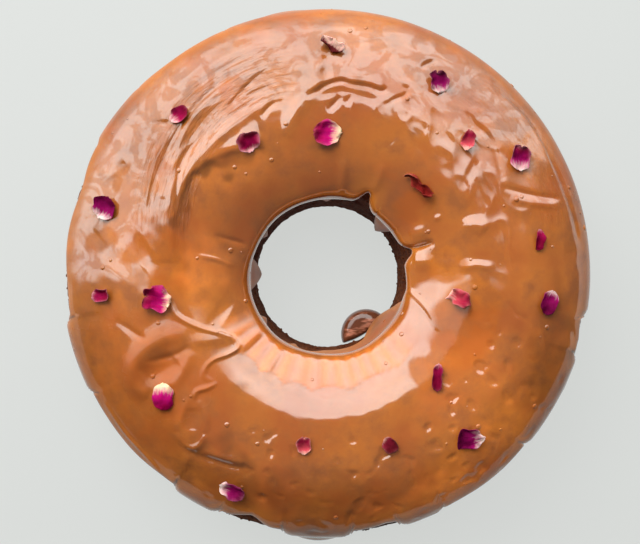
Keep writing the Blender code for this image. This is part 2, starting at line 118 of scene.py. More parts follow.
TOP_MARKS = (
    ("groove", 1.5, 1.0, ((-9, 78.3), (-3.6, 81.5), (0.9, 84), (6.3, 85.3), (11.7, 84), (18.9, 82.8),
                          (24.3, 81), (27, 82.4))),
    ("step", 0.9, 1.4, ((-14, 71), (-9, 77), (-3.6, 80.5), (0.9, 83), (6.3, 84.3), (11.7, 83),
                        (18.9, 81.8), (25, 80))),
    ("ridge", 0.8, 3.0, ((-4.5, 80), (-10.4, 74.3), (-15.3, 68), (-17.6, 60.8))),
    ("groove", 0.8, 0.8, ((26, 74.7), (30.6, 77.4), (35, 79.2), (36, 81.9), (33.3, 82.8))),
    ("ridge", 0.9, 2.2, ((-0.9, 96.8), (-3.6, 90.5), (-4.5, 81))),
    ("groove", 0.8, 0.9, ((-28.8, 69.8), (-26, 73.4), (-23, 76))),
    ("groove", 0.9, 1.2, ((0.9, 72.5), (3.6, 75.6), (6.3, 78.8))),
    ("groove", 0.5, 1.0, ((8.6, 75.2), (10.8, 78.8))),
    ("groove", 0.4, 0.8, ((8.6, 102), (18, 103.5), (26.6, 104), (29, 100))),
    ("groove", 1.2, 1.0, ((41.9, 90.9), (45.5, 94), (50.4, 95.9))),
    ("dent", 0.8, 4.0, ((46.8, 90.5), (49, 91))),
    ("groove", 0.9, 1.0, ((-78.3, 67.5), (-68.9, 67))),
)
RIGHT_MARKS = (
    ("step", 1.3, 0.9, ((114, 10.6), (112.4, 18.7), (109.7, 28.8), (105.6, 39.7), (101, 50.7), (96, 61.7),
                        (89, 71.3), (81.8, 77.7), (75.9, 82.7), (75, 90))),
    ("groove", 0.8, 0.9, ((114.6, 14), (110.6, 29), (102, 50.8), (90, 71.6), (76.8, 83))),
    ("groove", 0.7, 1.1, ((63, 73.4), (65.3, 67), (70.2, 63), (74.3, 56.7), (76.5, 49.5), (78.3, 41))),
    ("groove", 0.6, 0.9, ((64.8, 78.8), (66.6, 74.7), (69.8, 72.9))),
    ("groove", 0.8, 1.0, ((78.3, 38.3), (91.8, 35), (105.3, 33.3))),
    ("ridge", 0.6, 1.6, ((82, 33), (95, 31), (104, 30))),
    ("ridge", 0.6, 1.2, ((87.5, 71), (96.5, 55.5), (102, 42))),
    ("dent", 0.4, 6.0, ((63, 47), (67, 45))), ("ridge", 0.5, 6.0, ((29, 58), (41, 47), (52, 38), (64, 32))),
    ("groove", 0.4, 1.0, ((80.5, -12), (84, -17.5), (90, -21))),
    ("ridge", 0.8, 3.0, ((61, 21.5), (68, 21), (71, 19))), ("ridge", 0.6, 1.8, ((60, 3), (67, 3.6),
                         (74, 2.4))),
    ("ridge", 0.5, 1.2, ((48, 24), (51, 25.5))),
    ("ridge", 0.4, 1.2, ((94, -21), (97, -30), (98, -39))),
)
HOLE_MARKS = (
    ("groove", 2.6, 1.2, ((34.7, 11.3), (40.5, 11.7), (48.2, 14))),
    ("ridge", 1.0, 3.5, ((38, 17), (46, 20))),
    ("ridge", 1.0, 3.5, ((40, 5), (48, 6))),
    ("ridge", 0.8, 0.9, ((37.8, -7.7), (44, -14), (47.7, -19.8), (49.5, -25.7))),
    ("ridge", 0.5, 2.0, ((8, 51), (7.6, 37.5))),
    ("ridge", 0.5, 2.0, ((22.2, 37.4), (25.4, 48.6))),
    ("groove", 0.7, 1.2, ((-50, 17), (-41, 14.5), (-36, 13))),
    ("ridge", 0.5, 1.0, ((-57, 8), (-48, 6), (-43, 3))),
)
LEFT_MARKS = (
    ("groove", 1.6, 1.3, ((-94, -20.7), (-88, -24.7), (-83.2, -28), (-79.6, -29.7))),
    ("ridge", 3.4, 4.2, ((-61.2, -27), (-72.5, -28.8), (-81.5, -34.6), (-86, -42.7), (-84.6, -50.4),
                         (-79.2, -54))),
    ("dent", 4.0, 5.0, ((-80, -48), (-73.5, -43.5), (-67, -38))),
    ("groove", 1.4, 1.3, ((-79.5, -39.5), (-72.5, -37.8), (-65.7, -35.5), (-61, -32.4))),
    ("ridge", 1.6, 2.4, ((-60.3, -34.6), (-63.5, -42.7), (-68, -50.4))),
    ("ridge", 1.0, 2.5, ((-62, -31), (-52, -29.5), (-42, -29))),
    ("ridge", 2.0, 0.7, ((-71, -6.8), (-69.3, -13), (-67, -18), (-62, -21.6), (-54.5, -24.8), (-46.8, -27),
                         (-41.4, -29.7), (-39.6, -33.3), (-43.7, -36), (-50, -38.3), (-53.6, -41.9),
                         (-54, -45.9), (-50.4, -48.2))),
    ("ridge", 1.8, 0.9, ((-49, -49), (-53, -50.9), (-57.2, -52.2), (-59, -55.4))),
    ("dent", 1.0, 6.0, ((-49, -15), (-44, -18))),
    ("dent", 1.2, 6.5, ((-106, 13), (-101, 17))),
    ("dent", 1.2, 7.0, ((-85, 8), (-79, 12))),
    ("dent", 1.8, 3.2, ((-94, 46), (-89.5, 49.5))),
    ("dent", 1.2, 2.4, ((-99, 38), (-97, 43))),
)
LOWER_MARKS = (
    ("ridge", 1.8, 1.4, ((-66.6, -70.7), (-63.9, -75.6), (-59.9, -77.9), (-56.3, -76), (-53.6, -71.6))),
    ("ridge", 0.9, 1.6, ((-61.2, -55.4), (-64.4, -63.9), (-66.2, -70.7))),
    ("ridge", 0.9, 1.6, ((-56.7, -56.3), (-53.6, -63.5), (-53.6, -70.7))),
    ("dent", 1.3, 3.5, ((-59.4, -60), (-59.6, -70))),
    ("groove", 1.9, 1.6, ((-65.7, -74.3), (-59, -80.6), (-50, -83.7), (-41, -86.4), (-34.2, -86.9))),
    ("ridge", 1.2, 1.4, ((-54.5, -79.2), (-44, -82.4), (-36.5, -84.2))),
    ("ridge", 0.5, 1.4, ((-69, -79), (-68, -90))),
    ("ridge", 0.8, 2.0, ((-62, -81), (-63, -87))),
    ("ridge", 1.0, 0.9, ((-101, -58), (-92, -71), (-81.5, -82.3), (-75, -91))),
)
STEP_REACH = 9.0
BUNDLE_LINE = (
    (-74, 10), (-73, 30), (-69.5, 46.5), (-65, 58), (-57.5, 69), (-48, 78), (-37, 85), (-24, 90), (-8, 92))
RIM_LINE = ((58, 88), (74, 78), (88, 62), (97, 48), (104, 32), (107, 18))

# Sides of the ring that differ: direction, and the turn from it where that ends and where it is full
STREAKED_SIDE = (85.0, 105.0, 60.0)
WEBBED_SIDE = (45.0, 60.0, 25.0)
PITTED_SIDE = (292.0, 62.0, 38.0)
FLUTED_SIDE = (265.0, 60.0, 30.0)
WORN_SIDE = (105.0, 115.0, 75.0)
# The side whose band under the hole's lip carries a painted glow
PAINTED_GLOW_SIDE = (262.0, 68.0, 44.0)
DULL_LOWER_SIDE = (268.0, 95.0, 60.0)
# Where the drag lines round the ring start and end
SEAM = 300.0
# Radii in mm between which the steep skirt starts, and the scraped dollop: middle, and radii of its border
SKIRT_RADII = (118.0, 121.0)
DOLLOP = (-70.0, -45.0)
DOLLOP_RADII = (31.0, 18.0)
# The pale band under the hole's lip, a painted glow of reflected light: radii of its end, radius of its
# border and depth of its scallops in mm
BAND_END = (53.5, 52.2)
BAND_BORDER = 52.8
SCALLOPS = 2.4

# The set drop: its middle in mm, the middle and radius of its round border, and how finely it is built
DROP_CENTRE = (16.6, -25.2)
DROP_POOL = ((20.2, -30.3), 12.5)
DROP_SPOKES, DROP_RINGS = 96, 26

# The bright side of the room: how softly its two ends, its top and its bottom fade, and how uneven it is
WINDOW_START_FADE = (-0.08, 0.14)
WINDOW_END_FADE = (-0.02, 0.05)
WINDOW_TOP_FADE = 2.0
WINDOW_BOTTOM_FADE = (112.0, 74.0)
WINDOW_UNEVENNESS = (0.80, 1.06)
# Tints of the light from the dim side, from below and from the bright side
ROOM_TINT = (1.0, 0.95, 0.92)
BELOW_TINT = (1.0, 0.9, 0.8)
WINDOW_TINT = (0.97, 1.0, 0.98)
# Lamp and floor in metres, the picture's width in pixels and the sensor's in mm
LAMP_PLACE = (-0.45, 0.8, 0.95)
LAMP_SIZE = 0.9
FLOOR_HALF, FLOOR_LEVEL = 3.0, -0.2 * MM
PICTURE_WIDTH, SENSOR_WIDTH = 640, 36.0

# Broad patches of tone and of gloss: middle in mm, half length and half width in mm, direction, change. The
# tone patches lighten or darken the icing's colour: partly its own tone, partly painted light and painted
# shade
TONE_AND_PAINTED_LIGHT_PATCHES = (
    ((-53, 4), 17, 11, 80, 0.44), ((-60, -8), 14, 9, 120, 0.22), ((60, -48), 30, 20, 50, 0.32),
    ((86, 8), 28, 14, 90, 0.06), ((-48, -88), 32, 15, -28, -0.34), ((-88, -60), 32, 17, -55, -0.20),
    ((0, -98), 36, 14, 0, -0.30), ((100, -30), 30, 12, 80, -0.26), ((74, -84), 42, 16, 44, 0.48),
    ((46, -104), 30, 12, 22, 0.40), ((-66, -38), 12, 9, 40, 0.10), ((-10, 46), 30, 10, 8, 0.14),
    ((-40, 48), 20, 11, 40, 0.20), ((-84, 62), 62, 24, 50, -0.26), ((-108, -4), 40, 13, 90, -0.28),
    ((-20, 100), 44, 18, 4, -0.20), ((62, 88), 50, 16, -36, -0.20), ((-112, -44), 30, 10, 110, -0.20),
    # The two narrow dark patches: painted shadow at the foot of the spatula bundle's raised step
    ((-48, 48), 18, 4, 17, -0.50), ((-64, 31), 15, 4, 76, -0.40),
)
DULL_PATCHES = (
    ((-101, 15.5), 7, 4.6, 20, 0.9), ((-82.5, 11), 9, 4.6, 42, 0.9), ((-91.5, 45.5), 5.5, 2.6, 35, 0.9),
    ((-93, 39.5), 2.4, 2, 80, 0.8), ((43.5, -43.5), 6.4, 6.8, 0, 0.95), ((62, -22), 14, 20, -20, 0.95),
    ((54, 4), 8, 8, 0, 0.85), ((51, -34), 5, 10, -30, 0.9), ((-70.5, 4), 7, 14, 0, 0.8),
    ((40, 30), 9, 7, 0, 0.5), ((-63, 2), 5, 12, 0, 0.6),
)

# Petals: middle in mm, direction of the tip in degrees, length and width in mm, how far the sides roll up
# and the length bends up in degrees (minus is down), crumple in mm, tilt of the tip, twist in degrees,
# depth of the notch at the tip, share of the length that is pale, how pale its rim is, colours
PETALS = (
    ((2.9, 102.3), 240, 6.4, 12.4, 60, 160, 2.4, 10, 20, 0.10, 0.40, 0.0, "brown"),
    ((50.3, 85.1), 95, 10.0, 9.8, 110, 60, 1.9, 16, 0, 0.10, 0.20, 0.1, "purple"),
    ((-65.7, 70.9), 40, 8.4, 7.6, 90, 40, 0.9, 8, 0, 0.0, 0.20, 0.1, "crimson"),
    ((-34.5, 58.0), 118, 8.8, 11.6, 110, 30, 1.6, 16, 0, 0.0, 0.14, 0.5, "crimson"),
    ((0.6, 62.4), 182, 11.4, 12.2, 90, 45, 1.3, 8, 0, 0.06, 0.24, 0.1, "magenta"),
    ((62.8, 59.1), 80, 8.8, 6.6, 110, 60, 1.6, 8, 10, 0.0, 0.10, 0.2, "pink"),
    ((86.3, 51.3), 85, 10.6, 10.4, 110, 60, 1.7, 12, 0, 0.05, 0.22, 0.3, "plum"),
    ((40.8, 38.9), -48, 15.2, 6.8, 190, 70, 2.6, 4, 150, 0.0, 0.02, 0.1, "rust"),
    ((-99.2, 29.2), 60, 9.8, 11.8, 75, 40, 0.9, 12, 0, 0.0, 0.18, 0.0, "purple"),
    ((95.3, 15.0), -95, 8.6, 5.6, 150, 20, 1.2, 4, 10, 0.0, -0.04, 0.0, "crimson"),
    ((-100.8, -9.8), 10, 7.8, 6.6, 110, 40, 1.8, 6, 0, 0.0, 0.0, 0.3, "crimson"),
    ((-75.0, -11.4), 170, 11.8, 12.2, 95, 55, 2.6, 8, 0, 0.20, 0.16, 0.1, "magenta"),
    ((58.3, -11.0), -30, 10.4, 8.2, 120, 60, 3.1, 8, 40, 0.0, 0.20, 0.3, "rose"),
    ((99.4, -13.0), -112, 10.4, 8.6, 110, 40, 0.9, 6, 0, 0.0, 0.12, 0.0, "purple"),
    ((-72.6, -54.6), -92, 11.2, 10.4, -95, -50, 0.7, 0, 0, 0.0, 0.26, 0.0, "magenta"),
    ((49.1, -46.1), -92, 11.4, 5.6, 150, 25, 1.3, 4, 25, 0.0, -0.02, 0.1, "crimson"),
    ((-10.1, -76.4), 88, 7.4, 7.2, 90, 40, 0.9, 8, 0, 0.10, 0.10, 0.5, "pink"),
    ((28.3, -76.1), -45, 7.2, 7.0, 110, 50, 1.2, 6, 0, 0.0, 0.04, 0.1, "dark"),
    ((64.4, -73.5), 185, 12.2, 10.2, 95, 60, 1.9, 8, 20, 0.0, 0.18, 0.0, "purple"),
    ((-42.2, -97.4), -20, 11.2, 8.8, 120, 50, 1.7, 8, 0, 0.0, 0.24, 0.1, "purple"),
)
# Colours of a petal: pale base, middle, tip
PETAL_COLOURS = {
    "dark": ((0.80, 0.44, 0.34), (0.200, 0.010, 0.026), (0.075, 0.003, 0.008)),
    "brown": ((0.84, 0.50, 0.40), (0.085, 0.010, 0.012), (0.050, 0.004, 0.004)),
    "rust": ((0.62, 0.26, 0.15), (0.260, 0.030, 0.020), (0.160, 0.008, 0.007)),
    "rose": ((0.86, 0.48, 0.38), (0.460, 0.050, 0.070), (0.250, 0.006, 0.030)),
    "plum": ((0.82, 0.56, 0.50), (0.330, 0.004, 0.105), (0.160, 0.002, 0.024)),
    "purple": ((0.78, 0.56, 0.50), (0.240, 0.003, 0.082), (0.095, 0.001, 0.027)),
    "crimson": ((0.80, 0.44, 0.42), (0.270, 0.003, 0.050), (0.150, 0.001, 0.020)),
    "magenta": ((0.82, 0.60, 0.36), (0.430, 0.004, 0.135), (0.230, 0.001, 0.040)),
    "pink": ((0.86, 0.50, 0.38), (0.520, 0.060, 0.080), (0.220, 0.004, 0.026)),
}
# Width of a petal's two ends, as a share of its full width
PETAL_END_WIDTH = 0.16


def number(name, value, description, **options):
    """A number property."""
    return FloatProperty(name=name, description=description, default=value, **options)


def length(name, millimetres, description):
    """A length property whose default is given in millimetres."""
    return number(name, millimetres * MM, description, unit="LENGTH")


def turned(name, degrees, description):
    """An angle property whose default is given in degrees."""
    return number(name, math.radians(degrees), description, subtype="ANGLE")


def whole(name, value, description):
    """A whole number property."""
    return IntProperty(name=name, description=description, default=value)


def colour(name, value, description):
    """A colour property."""
    return FloatVectorProperty(
        name=name, description=description, default=value, subtype="COLOR", size=3, min=0.0, max=1.0)


class SpongeSettings(PropertyGroup):
    """Sizes and colour of the baked ring."""

    base_radius: length("Base radius", 122.5, "Outer radius of the ring where it stands")
    foot_rounding: length("Foot rounding", 3.0, "Rounding of the lowest edges")
    shoulder_radius: length("Shoulder radius", 118.6, "Outer radius at the top of the wall")
    shoulder_height: length("Shoulder height", 38.0, "Height at which the outer wall turns inwards")
    crown_radius: length("Crown radius", 75.0, "Radius of the highest line of the ring")
    crown_height: length("Crown height", 63.0, "Height of the highest line of the ring")
    hole_base_radius: length("Hole base radius", 34.8, "Radius of the hole where the ring stands")
    hole_top_radius: length("Hole top radius", 39.0, "Radius of the hole at the top of its wall")
    hole_top_height: length("Hole top height", 42.0, "Height at which the hole's wall turns outwards")
    hole_shift_x: length("Hole shift X", 0.8, "How far the hole lies off the middle")
    hole_shift_y: length("Hole shift Y", -1.6, "How far the hole lies off the middle")
    crumb_bulge: length("Bulge", 2.2, "How far the bare wall stands out between the tongues")
    crumb_depth: length("Crumb depth", 1.0, "Depth of the torn crumb on the bare walls")
    colour: colour("Crumb", (0.085, 0.019, 0.0065), "Colour of the crumb")
    crust: colour("Crust", (0.190, 0.066, 0.027), "Colour of the crumb's lighter flecks")


class IcingSettings(PropertyGroup):
    """Sizes, fineness and colours of the poured icing."""

    gap: length("Gap", 0.3, "Gap between the sponge and the icing")
    crown_thickness: length("Crown thickness", 4.0, "Thickness over the crown")
    wall_thickness: length("Wall thickness", 2.4, "Thickness on the walls")
    hem_thickness: length("Edge thickness", 0.4, "Thickness right at the edge")
    hem_bead: length("Edge bead", 3.5, "Width of the rounded edge")
    lip_bead: length("Lip bead", 2.3, "Extra thickness at the lip of the hole")
    relief: number("Relief", 1.0, "Strength of the spatula marks")
    swell_height: length("Waves", 0.55, "Height of the slow waves in the surface")
    angles: whole("Angles", 640, "Columns round the ring")
    inner_rows: whole("Inner rows", 48, "Rows from the crown to the hole")
    outer_rows: whole("Outer rows", 76, "Rows from the crown outwards")
    under_rows: whole("Under rows", 6, "Rows of each half of the underside")
    colour: colour("Icing", (0.320, 0.080, 0.0150), "Colour of the thick icing")
    warm: colour("Thin icing", (0.43, 0.135, 0.020), "Colour where the icing is thin or lit through")
    dull: colour("Dull icing", (0.250, 0.074, 0.020), "Colour of the browner blotches")
    drop_colour: colour("Drop", (0.150, 0.045, 0.020), "Colour of the set drop in the hole")


class PetalSettings(PropertyGroup):
    """Sizes and fineness of the rose petals."""

    thickness: length("Thickness", 0.5, "Thickness of a petal in its middle")
    rim_thickness: length("Rim thickness", 0.22, "Thickness of a petal at its rim")
    gap: length("Gap", 0.25, "Gap between a petal and the icing")
    columns: whole("Columns", 26, "Cells across a petal")
    rows: whole("Rows", 28, "Cells along a petal")
    crinkle: length("Crinkle", 0.16, "Depth of the fine crinkles")


class StageSettings(PropertyGroup):
    """Light, floor and camera."""

    window_strength: number("Window", 2.6, "Brightness of the bright side")
    room_strength: number("Room", 0.10, "Brightness of the dim side")
    below_strength: number("Below", 0.12, "Brightness below the horizon")
    zenith_gap: turned("Zenith gap", 8.0, "Angle round the zenith that stays dim")
    window_from: turned("Window from", 28.0, "Direction where the bright side starts")
    window_to: turned("Window to", 182.0, "Direction where the bright side ends")
    lamp_power: number("Lamp", 18.0, "Power of the soft lamp", subtype="POWER")
    camera_height: length("Camera height", 600.0, "Height of the camera over the base")
    camera_x: length("Camera X", -2.8, "Place of the camera across")
    camera_y: length("Camera Y", 0.65, "Place of the camera up the picture")
    focal_pixels: number("Focal length", 1200.0, "Focal length in pixels")
    floor_glow: number("Floor glow", 0.60, "Light that comes up through the floor")
    floor: colour("Floor", (0.055, 0.0565, 0.055), "Colour of the floor")


def smooth(value, start=0.0, end=1.0):
    """Zero at the start and one at the end, level at both."""
    share = np.clip((value - start) / (end - start), 0.0, 1.0)
    return share * share * (3.0 - 2.0 * share)


def around(angle, table):
    """Value at an angle of a closed table of angle and value, with level ends at each entry."""
    angles = np.array([entry[0] for entry in table], dtype=float)
    values = np.array([entry[1] for entry in table], dtype=float)
    angles = np.concatenate([angles[-1:] - FULL_TURN, angles, angles[:1] + FULL_TURN])
    values = np.concatenate([values[-1:], values, values[:1]])
    angle = (angle - angles[0]) % FULL_TURN + angles[0]
    place = np.clip(np.searchsorted(angles, angle, side="right") - 1, 0, len(angles) - 2)
    share = (angle - angles[place]) / (angles[place + 1] - angles[place])
    return values[place] + (values[place + 1] - values[place]) * smooth(share)


def turn_between(angle, middle):
    """Unsigned difference of two directions in degrees."""
    return np.abs((angle - middle + 180.0) % FULL_TURN - 180.0)


def facing(angle, middle, end, full):
    """One on the side of the ring that faces a direction, nought beyond it."""
    return smooth(turn_between(angle, middle), end, full)


def wave(angle, count, start=0.0):
    """A sine wave that runs a number of times round the ring, all in degrees."""
    return np.sin(np.radians(count * angle + start))


def polar(seen):
    """Angle in degrees and radius in millimetres of places seen from above."""
    return np.degrees(np.arctan2(seen[:, 1], seen[:, 0])) % FULL_TURN, np.hypot(seen[:, 0], seen[:, 1]) / MM


def edge_height(angle, edge, tongues):
    """Height of the sheet's edge, with its tongues."""
    height = around(angle, edge)
    for middle, half_width, tip, _ in tongues:
        offset = turn_between(angle, middle) / half_width
        low = tip + (height - tip) * np.clip(offset, 0.0, 1.0) ** TONGUE_POWER
        height = np.where(offset < 1.0, np.minimum(height, low), height)
    return height * MM


def swell(angle, tongues):
    """How far the tongues stand proud at an angle."""
    total = 0.0 * angle
    for middle, half_width, _, proud in tongues:
        offset = turn_between(angle, middle) / (SWELL_SPREAD * half_width)
        hump = np.cos(0.5 * math.pi * np.clip(offset, 0.0, 1.0)) ** SWELL_POWER
        total = np.maximum(total, proud * hump)
    return total * MM


def noise_at(points, scale, seed=0.0):
    """Smooth noise from about minus one to one at every point."""
    shift = Vector((seed * 7.3, seed * 3.1, seed * 5.7))
    return np.array([noise.noise(Vector(point) * scale + shift) for point in points])


def noise_over(first, second, scale, seed):
    """Smooth noise over two numbers for every point."""
    return noise_at(np.stack([first, second, 0.0 * first], axis=-1), scale, seed)


class RingSection:
    """The sponge's half section by its run from the crown, minus towards the hole."""

    def __init__(self, sponge):
        """Sample the section from the hole's foot over the crown to the outer foot."""
        self.sponge = sponge
        inner_foot = self.foot(sponge.hole_base_radius, -1.0)
        outer_foot = self.foot(sponge.base_radius, 1.0)
        inner = self.shoulder(sponge.hole_top_radius, sponge.hole_top_height)
        outer = self.shoulder(sponge.shoulder_radius, sponge.shoulder_height)
        radius = np.concatenate([inner_foot[0], inner[0], outer[0][-2::-1], outer_foot[0][::-1]])
        height = np.concatenate([inner_foot[1], inner[1], outer[1][-2::-1], outer_foot[1][::-1]])
        step = np.hypot(np.diff(radius), np.diff(height))
        run = np.concatenate([[0.0], np.cumsum(step)])
        along_r = np.gradient(radius, run)
        along_z = np.gradient(height, run)
        size = np.hypot(along_r, along_z)
        self.top = int(np.argmax(height))
        self.run = run - run[self.top]
        self.radius = radius
        self.height = height
        self.normal_r = -along_z / size
        self.normal_z = along_r / size
        self.usual_outer = self.run_at_height(sponge.shoulder_height + 4.0 * MM, True)
        self.usual_inner = self.run_at_height(sponge.hole_top_height - 2.0 * MM, False)

    def shoulder(self, from_radius, from_height, power=2.3, samples=90):
        """Quarter superellipse from the top of a wall up to the crown."""
        crown_radius, crown_height = self.sponge.crown_radius, self.sponge.crown_height
        turn = np.linspace(0.0, math.pi / 2, samples)
        across = np.abs(np.cos(turn)) ** (2.0 / power)
        rise = np.abs(np.sin(turn)) ** (2.0 / power)
        radius = crown_radius + (from_radius - crown_radius) * across
        return radius, from_height + (crown_height - from_height) * rise

    def foot(self, wall_radius, outward):
        """Rounded foot of a wall, from the ground up."""
        rounding = self.sponge.foot_rounding
        turn = np.linspace(0.0, math.pi / 2, 5)
        return wall_radius - outward * rounding * (1.0 - np.sin(turn)), rounding * (1.0 - np.cos(turn))

    def run_at_height(self, height, outside):
        """Run at which the section passes a height, outside or in the hole."""
        if outside:
            return np.interp(-height, -self.height[self.top:], self.run[self.top:])
        return np.interp(height, self.height[:self.top + 1], self.run[:self.top + 1])

    def edges(self, angle):
        """Runs of the icing's inner and outer edge at every angle."""
        first = self.run_at_height(edge_height(angle, INNER_EDGE, INNER_TONGUES), False)
        last = self.run_at_height(edge_height(angle, OUTER_EDGE, OUTER_TONGUES), True)
        return first, last

    def rows_between(self, first, last, inner_count, outer_count):
        """Runs from one edge over the crown to the other, one line of them for each angle."""
        sides = []
        for edge, usual, rows in (
                (first, self.usual_inner, inner_count), (last, self.usual_outer, outer_count)):
            share = np.linspace(0.0, 1.0, rows + 1)[None, :]
            sides.append(share * usual + (edge[:, None] - usual) * share ** EDGE_PULL)
        return np.concatenate([sides[0][:, :0:-1], sides[1]], axis=1)

    @staticmethod
    def bare(angle):
        """One where the icing leaves the outer wall bare, nought in its tongues."""
        return smooth(edge_height(angle, OUTER_EDGE, OUTER_TONGUES), *BARE_EDGE)

    def bulge(self, run, height):
        """How far the bare outer wall stands out at a run."""
        rounding = self.sponge.foot_rounding
        wall = smooth(run / self.run[-1], 0.21, 0.56) * smooth(height, rounding, 3.0 * rounding)
        return self.sponge.crumb_bulge * wall

    def point(self, angle, run, lift):
        """Points of the sponge's surface at angles and runs, lifted along its normal."""
        sponge = self.sponge
        radius = np.interp(run, self.run, self.radius)
        height = np.interp(run, self.run, self.height)
        lift = lift + self.bulge(run, height) * self.bare(angle)
        radius = radius + lift * np.interp(run, self.run, self.normal_r)
        height = height + lift * np.interp(run, self.run, self.normal_z)
        shift = smooth(radius, sponge.crown_radius, sponge.hole_top_radius)
        turn = np.radians(angle)
        x = radius * np.cos(turn) + sponge.hole_shift_x * shift
        y = radius * np.sin(turn) + sponge.hole_shift_y * shift
        return np.stack([x, y, height], axis=-1)


def rounded_path(points, density=5):
    """A path in metres, rounded through points given in millimetres."""
    path = np.array(points, dtype=float) * MM
    if len(path) < 3:
        return path
    fine = np.linspace(0, len(path) - 1, density * len(path))
    slopes = np.gradient(path, axis=0)
    place = np.clip(fine.astype(int), 0, len(path) - 2)
    share = (fine - place)[:, None]
    start, end = path[place], path[place + 1]
    leave, arrive = slopes[place], slopes[place + 1]
    return (
        (2 * share ** 3 - 3 * share ** 2 + 1) * start
        + (share ** 3 - 2 * share ** 2 + share) * leave
        + (3 * share ** 2 - 2 * share ** 3) * end
        + (share ** 3 - share ** 2) * arrive
    )


def from_path(place, path):
    """Distance to a path, the side (plus is left) and the share of its length, at every point."""
    best = np.full(len(place), 1.0)
    side = np.zeros(len(place))
    part = np.zeros(len(place))
    for index in range(len(path) - 1):
        start = path[index]
        span = path[index + 1] - start
        offset = place - start
        share = np.clip((offset @ span) / (span @ span), 0.0, 1.0)
        away = np.linalg.norm(offset - share[:, None] * span, axis=1)
        nearer = away < best
        cross = span[0] * offset[:, 1] - span[1] * offset[:, 0]
        best = np.where(nearer, away, best)
        side = np.where(nearer, np.sign(cross), side)
        part = np.where(nearer, (index + share) / (len(path) - 1), part)
    return best, side, part


def mark_relief(place, marks):
    """Height of spatula marks at points seen from above."""
    total = np.zeros(len(place))
    for form, height, half_width, points in marks:
        path = rounded_path(points)
        half_width = half_width * MM
        reach = 2.2 * STEP_REACH * MM if form == "step" else 3.0 * half_width
        near = np.all((place > path.min(0) - reach) & (place < path.max(0) + reach), axis=1)
        if not near.any():
            continue
        away, side, part = from_path(place[near], path)
        taper = np.sin(math.pi * np.clip(part, 0.0, 1.0)) ** 0.5
        if form == "dent":
            taper = 0.15 + 0.85 * taper
        if form == "step":
            shape = 0.5 * (1.0 + np.tanh(side * away / half_width)) * np.exp(-(away / (STEP_REACH * MM)) ** 2)
        elif form == "groove":
            shape = -np.exp(-(away / half_width) ** 1.6)
        elif form == "dent":
            shape = -np.exp(-(away / half_width) ** 2)
        else:
            shape = np.exp(-(away / half_width) ** 2)
        total[near] += height * MM * taper * shape
    return total


def show(name, data):
    """An object in the scene that shows a mesh, a lamp or a camera."""
    obj = bpy.data.objects.new(name, data)
    bpy.context.scene.collection.objects.link(obj)
    return obj


def add_mesh(name, points, faces, material, values=None):
    """A smooth-shaded mesh object with named float attributes on its points."""
    mesh = bpy.data.meshes.new(name)
    mesh.from_pydata(points.tolist(), [], faces)
    mesh.materials.append(material)
    mesh.shade_smooth()
    for label, numbers in (values or {}).items():
        attribute = mesh.attributes.new(label, "FLOAT", "POINT")
        attribute.data.foreach_set("value", np.asarray(numbers, dtype=np.float32))
    return show(name, mesh)


def ring_quads(angles, rows):
    """Quads of a ring of closed cross-section loops."""
    turn, row = np.meshgrid(np.arange(angles), np.arange(rows), indexing="ij")
    here, there = turn * rows, (turn + 1) % angles * rows
    after = (row + 1) % rows
    quads = np.stack([here + row, there + row, there + after, here + after], axis=-1)
    return quads.reshape(-1, 4).tolist()


def finish_piece(piece, node):
    """Let a piece ride on the cake and, when it has one, stand for its solid."""
    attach(piece, "root")
    if node:
        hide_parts(node)


class Nodes:
    """Short way to add and link the nodes of one tree."""

    def __init__(self, tree, coordinates=None):
        """Work in a node tree, on one kind of texture coordinates."""
        self.tree = tree
        if coordinates:
            self.place = self.add("ShaderNodeTexCoord").outputs[coordinates]

    def add(self, kind, inputs=None, **settings):
        """Add a node with its settings, and feed its inputs by name or number."""
        node = self.tree.nodes.new(kind)
        for key, value in settings.items():
            setattr(node, key, value)
        for key, value in (inputs or {}).items():
            self.feed(node.inputs[key], value)
        return node

    def feed(self, socket, value):
        """Link another node's output to a socket, or give it a value or colour."""
        if isinstance(value, bpy.types.NodeSocket):
            self.tree.links.new(value, socket)
        elif socket.type == "RGBA":
            socket.default_value = (*value, 1.0)
        else:
            socket.default_value = value

    def math(self, operation, first, second):
        """A math node on two sockets or numbers."""
        return self.add("ShaderNodeMath", {0: first, 1: second}, operation=operation).outputs[0]

    def times(self, first, second):
        """The product of two sockets or numbers."""
        return self.math("MULTIPLY", first, second)

    def vector(self, x=0.0, y=0.0, z=0.0):
        """A vector of three sockets or numbers."""
        return self.add("ShaderNodeCombineXYZ", {0: x, 1: y, 2: z}).outputs[0]

    def noise(self, scale, detail=3.0, roughness=0.5, vector=None, distortion=0.0):
        """A noise texture's factor."""
        return self.add("ShaderNodeTexNoise", {
            "Scale": scale, "Detail": detail, "Roughness": roughness, "Distortion": distortion,
            "Vector": vector or self.place}).outputs["Fac"]

    def mix(self, factor, first, second):
        """A colour between two colours or sockets."""
        return self.add("ShaderNodeMix", {0: factor, 6: first, 7: second}, data_type="RGBA").outputs[2]

    def spread(self, factor, low, high, from_low=0.0, from_high=1.0, **settings):
        """A factor moved to another range."""
        inputs = dict(enumerate((factor, from_low, from_high, low, high)))
        return self.add("ShaderNodeMapRange", inputs, **settings).outputs[0]


